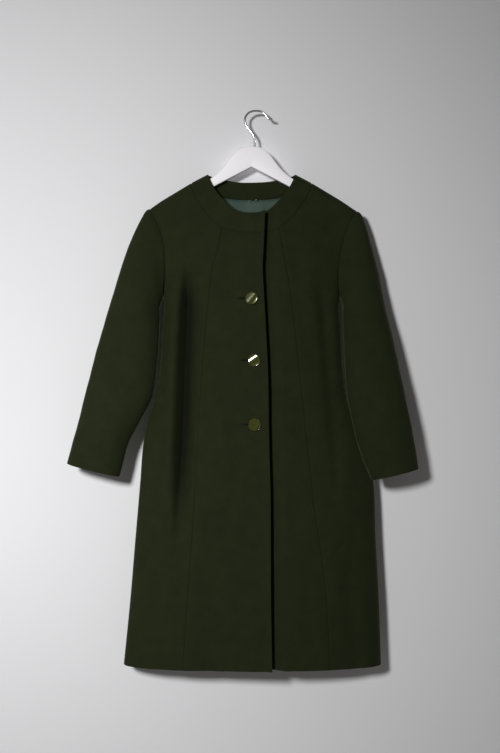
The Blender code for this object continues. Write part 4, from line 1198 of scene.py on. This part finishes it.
# Hanger: a flat wooden bow under white satin paint, and a chromed wire hook
hanger = {
    # distance from the middle, top, bottom
    "bow": ((0.000, -0.0690, -0.1098), (0.012, -0.0697, -0.1160), (0.024, -0.0742, -0.1223),
            (0.038, -0.0868, -0.1296), (0.054, -0.1080, -0.1379), (0.069, -0.1235, -0.1457),
            (0.085, -0.1350, -0.1545), (0.103, -0.1435, -0.1635)),
    "armFrom": 0.122, "reach": 0.181, "armHeight": 0.0190, "tipHeight": 0.0150, "slope": 0.5,
    "drop": 0.0036, "thickness": 0.0104, "columns": 180, "edge": 0.0034,
    # the tip is rounded from this distance out, by a share of its height, more of it from below
    "tipFrom": 0.170, "tipRound": 0.40, "tipAbove": 0.3,
    "paint": rgb(0.97, 0.94, 0.98), "worn": rgb(0.92, 0.89, 0.93),
    "grain": (40.0, 260.0, 420.0), "cloud": 30.0, "brushHeight": 0.00006,
    "paintFinish": {"Specular IOR Level": 0.5, "Coat Weight": 0.2, "Coat Roughness": 0.3},
    "wire": ((0.0370, -0.0140), (0.0325, -0.0135), (0.0285, -0.0122), (0.0255, -0.0085),
             (0.0225, -0.0048), (0.0190, -0.0012), (0.0145, 0.0015), (0.0090, 0.0025),
             (0.0030, 0.0027), (-0.0040, 0.0018), (-0.0105, -0.0012), (-0.0155, -0.0065),
             (-0.0182, -0.0130), (-0.0178, -0.0200), (-0.0150, -0.0275), (-0.0095, -0.0355),
             (-0.0040, -0.0425), (-0.0005, -0.0490), (0.0008, -0.0560), (0.0012, -0.0640),
             (0.0014, -0.0780)),
    "wireRadius": 0.0022, "wireSteps": 200,
    "chrome": rgb(0.70, 0.70, 0.71), "dull": rgb(0.46, 0.46, 0.47),
    "dullPatches": 130.0, "drawn": 900.0,
    "chromeFinish": {"Metallic": 1.0},
}


def bowRow(out):
    # Top and bottom at a distance from the middle
    rows = [(-row[0], *row[1:]) for row in hanger["bow"]]
    lastOut, lastTop, lastBottom = hanger["bow"][-1]
    if out <= lastOut:
        return atHeight(rows, -out)
    armTop = float(shoulderZ(centre + out)) - hanger["drop"]
    t = float(ease((out - lastOut) / (hanger["armFrom"] - lastOut)))
    top = mix(lastTop - hanger["slope"] * (out - lastOut), armTop, t)
    tip = max((out - hanger["armFrom"]) / (hanger["reach"] - hanger["armFrom"]), 0.0)
    high = mix(lastTop - lastBottom, mix(hanger["armHeight"], hanger["tipHeight"], tip), t)
    end = max((out - hanger["tipFrom"]) / (hanger["reach"] - hanger["tipFrom"]), 0.0)
    trimmed = high * (1 - hanger["tipRound"] * (1 - math.sqrt(1 - min(end, 1.0) ** 2)))
    top -= (high - trimmed) * hanger["tipAbove"]
    return top, top - trimmed


def makePaint():
    graph = Graph("whitePaint", hanger["paintFinish"])
    here = graph.place()
    grain = graph.node("ShaderNodeMapping", None, {"Vector": here, "Scale": hanger["grain"]})
    brush = graph.noise(grain, 1.0, 3.0, 0.6)
    cloud = graph.noise(here, hanger["cloud"], 2.0)
    graph.feed("Base Color", graph.blend(brush * 0.4 + cloud * 0.5, hanger["paint"], hanger["worn"]))
    graph.feed("Roughness", cloud * 0.15 + 0.34)
    graph.feed("Normal", graph.bump(brush, hanger["brushHeight"], 0.4))
    return graph.material


def makeChrome():
    graph = Graph("chromeWire", hanger["chromeFinish"])
    here = graph.place()
    mask = graph.mask(graph.noise(here, hanger["dullPatches"], 3.0), 0.55, 0.75)
    graph.feed("Base Color", graph.blend(mask, hanger["chrome"], hanger["dull"]))
    graph.feed("Roughness", graph.noise(here, hanger["drawn"], 2.0) * 0.08 + 0.16)
    return graph.material


bow = addStart(bpy.ops.mesh.primitive_grid_add, x_subdivisions=hanger["columns"], y_subdivisions=2,
               size=2.0)
for point in bow.data.vertices:
    out = point.co.x * hanger["reach"]
    top, bottom = bowRow(abs(out))
    point.co = (centre + out, 0.0, mix(bottom, top, (point.co.y + 1) / 2))
applyModifier(bow, "SOLIDIFY", thickness=hanger["thickness"], offset=0.0)
applyModifier(bow, "BEVEL", width=hanger["edge"], segments=5, limit_method="ANGLE",
              angle_limit=math.radians(60))
finishPiece(bow, "hanger_bow", makePaint(), 50.0, "hanger_body")

wire = sweepLine("hanger_wire", [(x, 0.0, z) for x, z in hanger["wire"]], hanger["wireSteps"],
                 hanger["wireRadius"], 6, 4)
finishPiece(wire, "hanger_wire", makeChrome(), 60.0, "hanger_hook")
print("hanger is made")


# Loose threads: the tack at the top of the lining's pleat, and a white end on the shoulder
threads = {
    "tack": ((-0.0075, 0.0010), (-0.0045, -0.0012), (-0.0010, -0.0002), (0.0020, 0.0014),
             (0.0045, 0.0022), (0.0070, 0.0004), (0.0052, -0.0022), (0.0026, -0.0010),
             (0.0040, 0.0010)),
    "tackOut": 0.0060, "tackZ": -0.1728, "tackLift": 0.0058, "tackRadius": 0.00055, "endWidth": 1.2,
    "white": ((-0.1262, -0.0042, -0.1502), (-0.1258, -0.0052, -0.1496), (-0.1252, -0.0050, -0.1503)),
    "whiteRadius": 0.00042,
    "whiteDark": rgb(0.42, 0.42, 0.38), "whiteLight": rgb(0.62, 0.62, 0.57),
}


def makeThread(name, points, radius, finish):
    finishPiece(sweepLine(name, points, (len(points) - 1) * 6, radius, 2), name, finish, 60.0)


tackPoints = []
for across, up in threads["tack"]:
    x, z = centre + threads["tackOut"] + across, threads["tackZ"] + up
    tackPoints.append((x, float(bodyY("back", x, z)) - threads["tackLift"], z))
makeThread("lining_tack", tackPoints, threads["tackRadius"], silkThread)
cottonThread = makeThreadFinish("cottonThread", threads["whiteDark"], threads["whiteLight"],
                                buttonhole["finish"])
makeThread("tack_end", tackPoints[-2:], threads["tackRadius"] * threads["endWidth"], cottonThread)
makeThread("shoulder_thread", threads["white"], threads["whiteRadius"], cottonThread)
print("threads are made")


# Camera, floor, wall and lights
view = {"place": (-0.008, -2.09, -0.528), "lens": 50.0, "sensor": 36.0}
camera = bpy.data.cameras.new("camera")
camera.lens = view["lens"]
camera.sensor_fit = "VERTICAL"
camera.sensor_height = view["sensor"]
camera.sensor_width = view["sensor"]
cameraObject = addObject("camera", camera)
cameraObject.location = view["place"]
cameraObject.rotation_euler = (math.pi / 2, 0, 0)
bpy.context.scene.camera = cameraObject

room = {
    # y of the wall at z = 0, and how far it leans forward for each metre up
    "wallTop": 0.0335, "wallSlope": 0.0244, "floor": -2.50, "wallHalf": 2.6, "wallHigh": 1.6,
    "floorHalf": 4.0,
    "wallColour": rgb(0.76, 0.76, 0.775), "floorColour": rgb(0.78, 0.78, 0.77),
    "finish": {"Roughness": 0.85, "Specular IOR Level": 0.2},
}


def stageSheet(name, corners, colour):
    # A painted sheet that is clear from behind and casts no shadow
    graph = Graph(name + "Paint", {"Base Color": colour, **room["finish"]})
    both = graph.node("ShaderNodeMixShader", None, {
        0: graph.node("ShaderNodeNewGeometry", output="Backfacing"),
        1: Wire(graph, graph.shader.outputs[0]), 2: graph.node("ShaderNodeBsdfTransparent")})
    graph.tree.links.new(both.socket, graph.output.inputs["Surface"])
    mesh = bpy.data.meshes.new(name)
    mesh.from_pydata(corners, [], [(0, 1, 2, 3)])
    mesh.materials.append(graph.material)
    sheet = addObject(name, mesh)
    sheet.visible_shadow = False


wide, low = room["wallHalf"], room["floor"]
wallCorners = [(-wide, low), (wide, low), (wide, room["wallHigh"]), (-wide, room["wallHigh"])]
stageSheet("wall", [(x, room["wallTop"] - room["wallSlope"] * z, z) for x, z in wallCorners],
           room["wallColour"])
wide = room["floorHalf"]
stageSheet("floor", [(-wide, -wide, low), (wide, -wide, low), (wide, wide, low), (-wide, wide, low)],
           room["floorColour"])

lamps = (
    # name, place, aim, size, power, spread in degrees
    ("window", (-0.81, -2.42, 0.01), (-0.60, 0.04, -0.80), 0.36, 16.6, 90.0),
    ("fill", (1.5, -2.6, -0.3), (0.0, 0.0, -0.6), 1.8, 0.25, 180.0),
)
# An even light from behind, for the back and the sides
backLight = {"from": (0.10, 0.97, 0.22), "power": 1.5, "softness": 3.0}


def addLamp(name, kind, power, place, direction):
    lamp = bpy.data.lights.new(name, kind)
    lamp.energy = power
    lampObject = addObject(name, lamp)
    lampObject.location = place
    lampObject.rotation_euler = direction.to_track_quat("-Z", "Y").to_euler()
    return lamp


for name, place, aim, size, power, spread in lamps:
    lamp = addLamp(name, "AREA", power, place, Vector(aim) - Vector(place))
    lamp.shape = "DISK"
    lamp.size = size
    lamp.spread = math.radians(spread)
lamp = addLamp("behind", "SUN", backLight["power"], backLight["from"], -Vector(backLight["from"]))
lamp.angle = math.radians(backLight["softness"])

# The room's own light is dim, and what is seen past the wall is pale
roomLight = {"colour": rgb(0.88, 0.81, 0.77), "dim": 0.080, "pale": 0.55}
world = bpy.data.worlds.new("studio")
world.use_nodes = True
background = world.node_tree.nodes["Background"]
background.inputs["Color"].default_value = roomLight["colour"]
seen = world.node_tree.nodes.new("ShaderNodeLightPath")
strength = world.node_tree.nodes.new("ShaderNodeMapRange")
strength.inputs["To Min"].default_value = roomLight["dim"]
strength.inputs["To Max"].default_value = roomLight["pale"]
world.node_tree.links.new(seen.outputs["Is Camera Ray"], strength.inputs["Value"])
world.node_tree.links.new(strength.outputs[0], background.inputs["Strength"])
bpy.context.scene.world = world
bpy.context.scene.view_settings.view_transform = "Standard"
print("camera, room and lights are made")
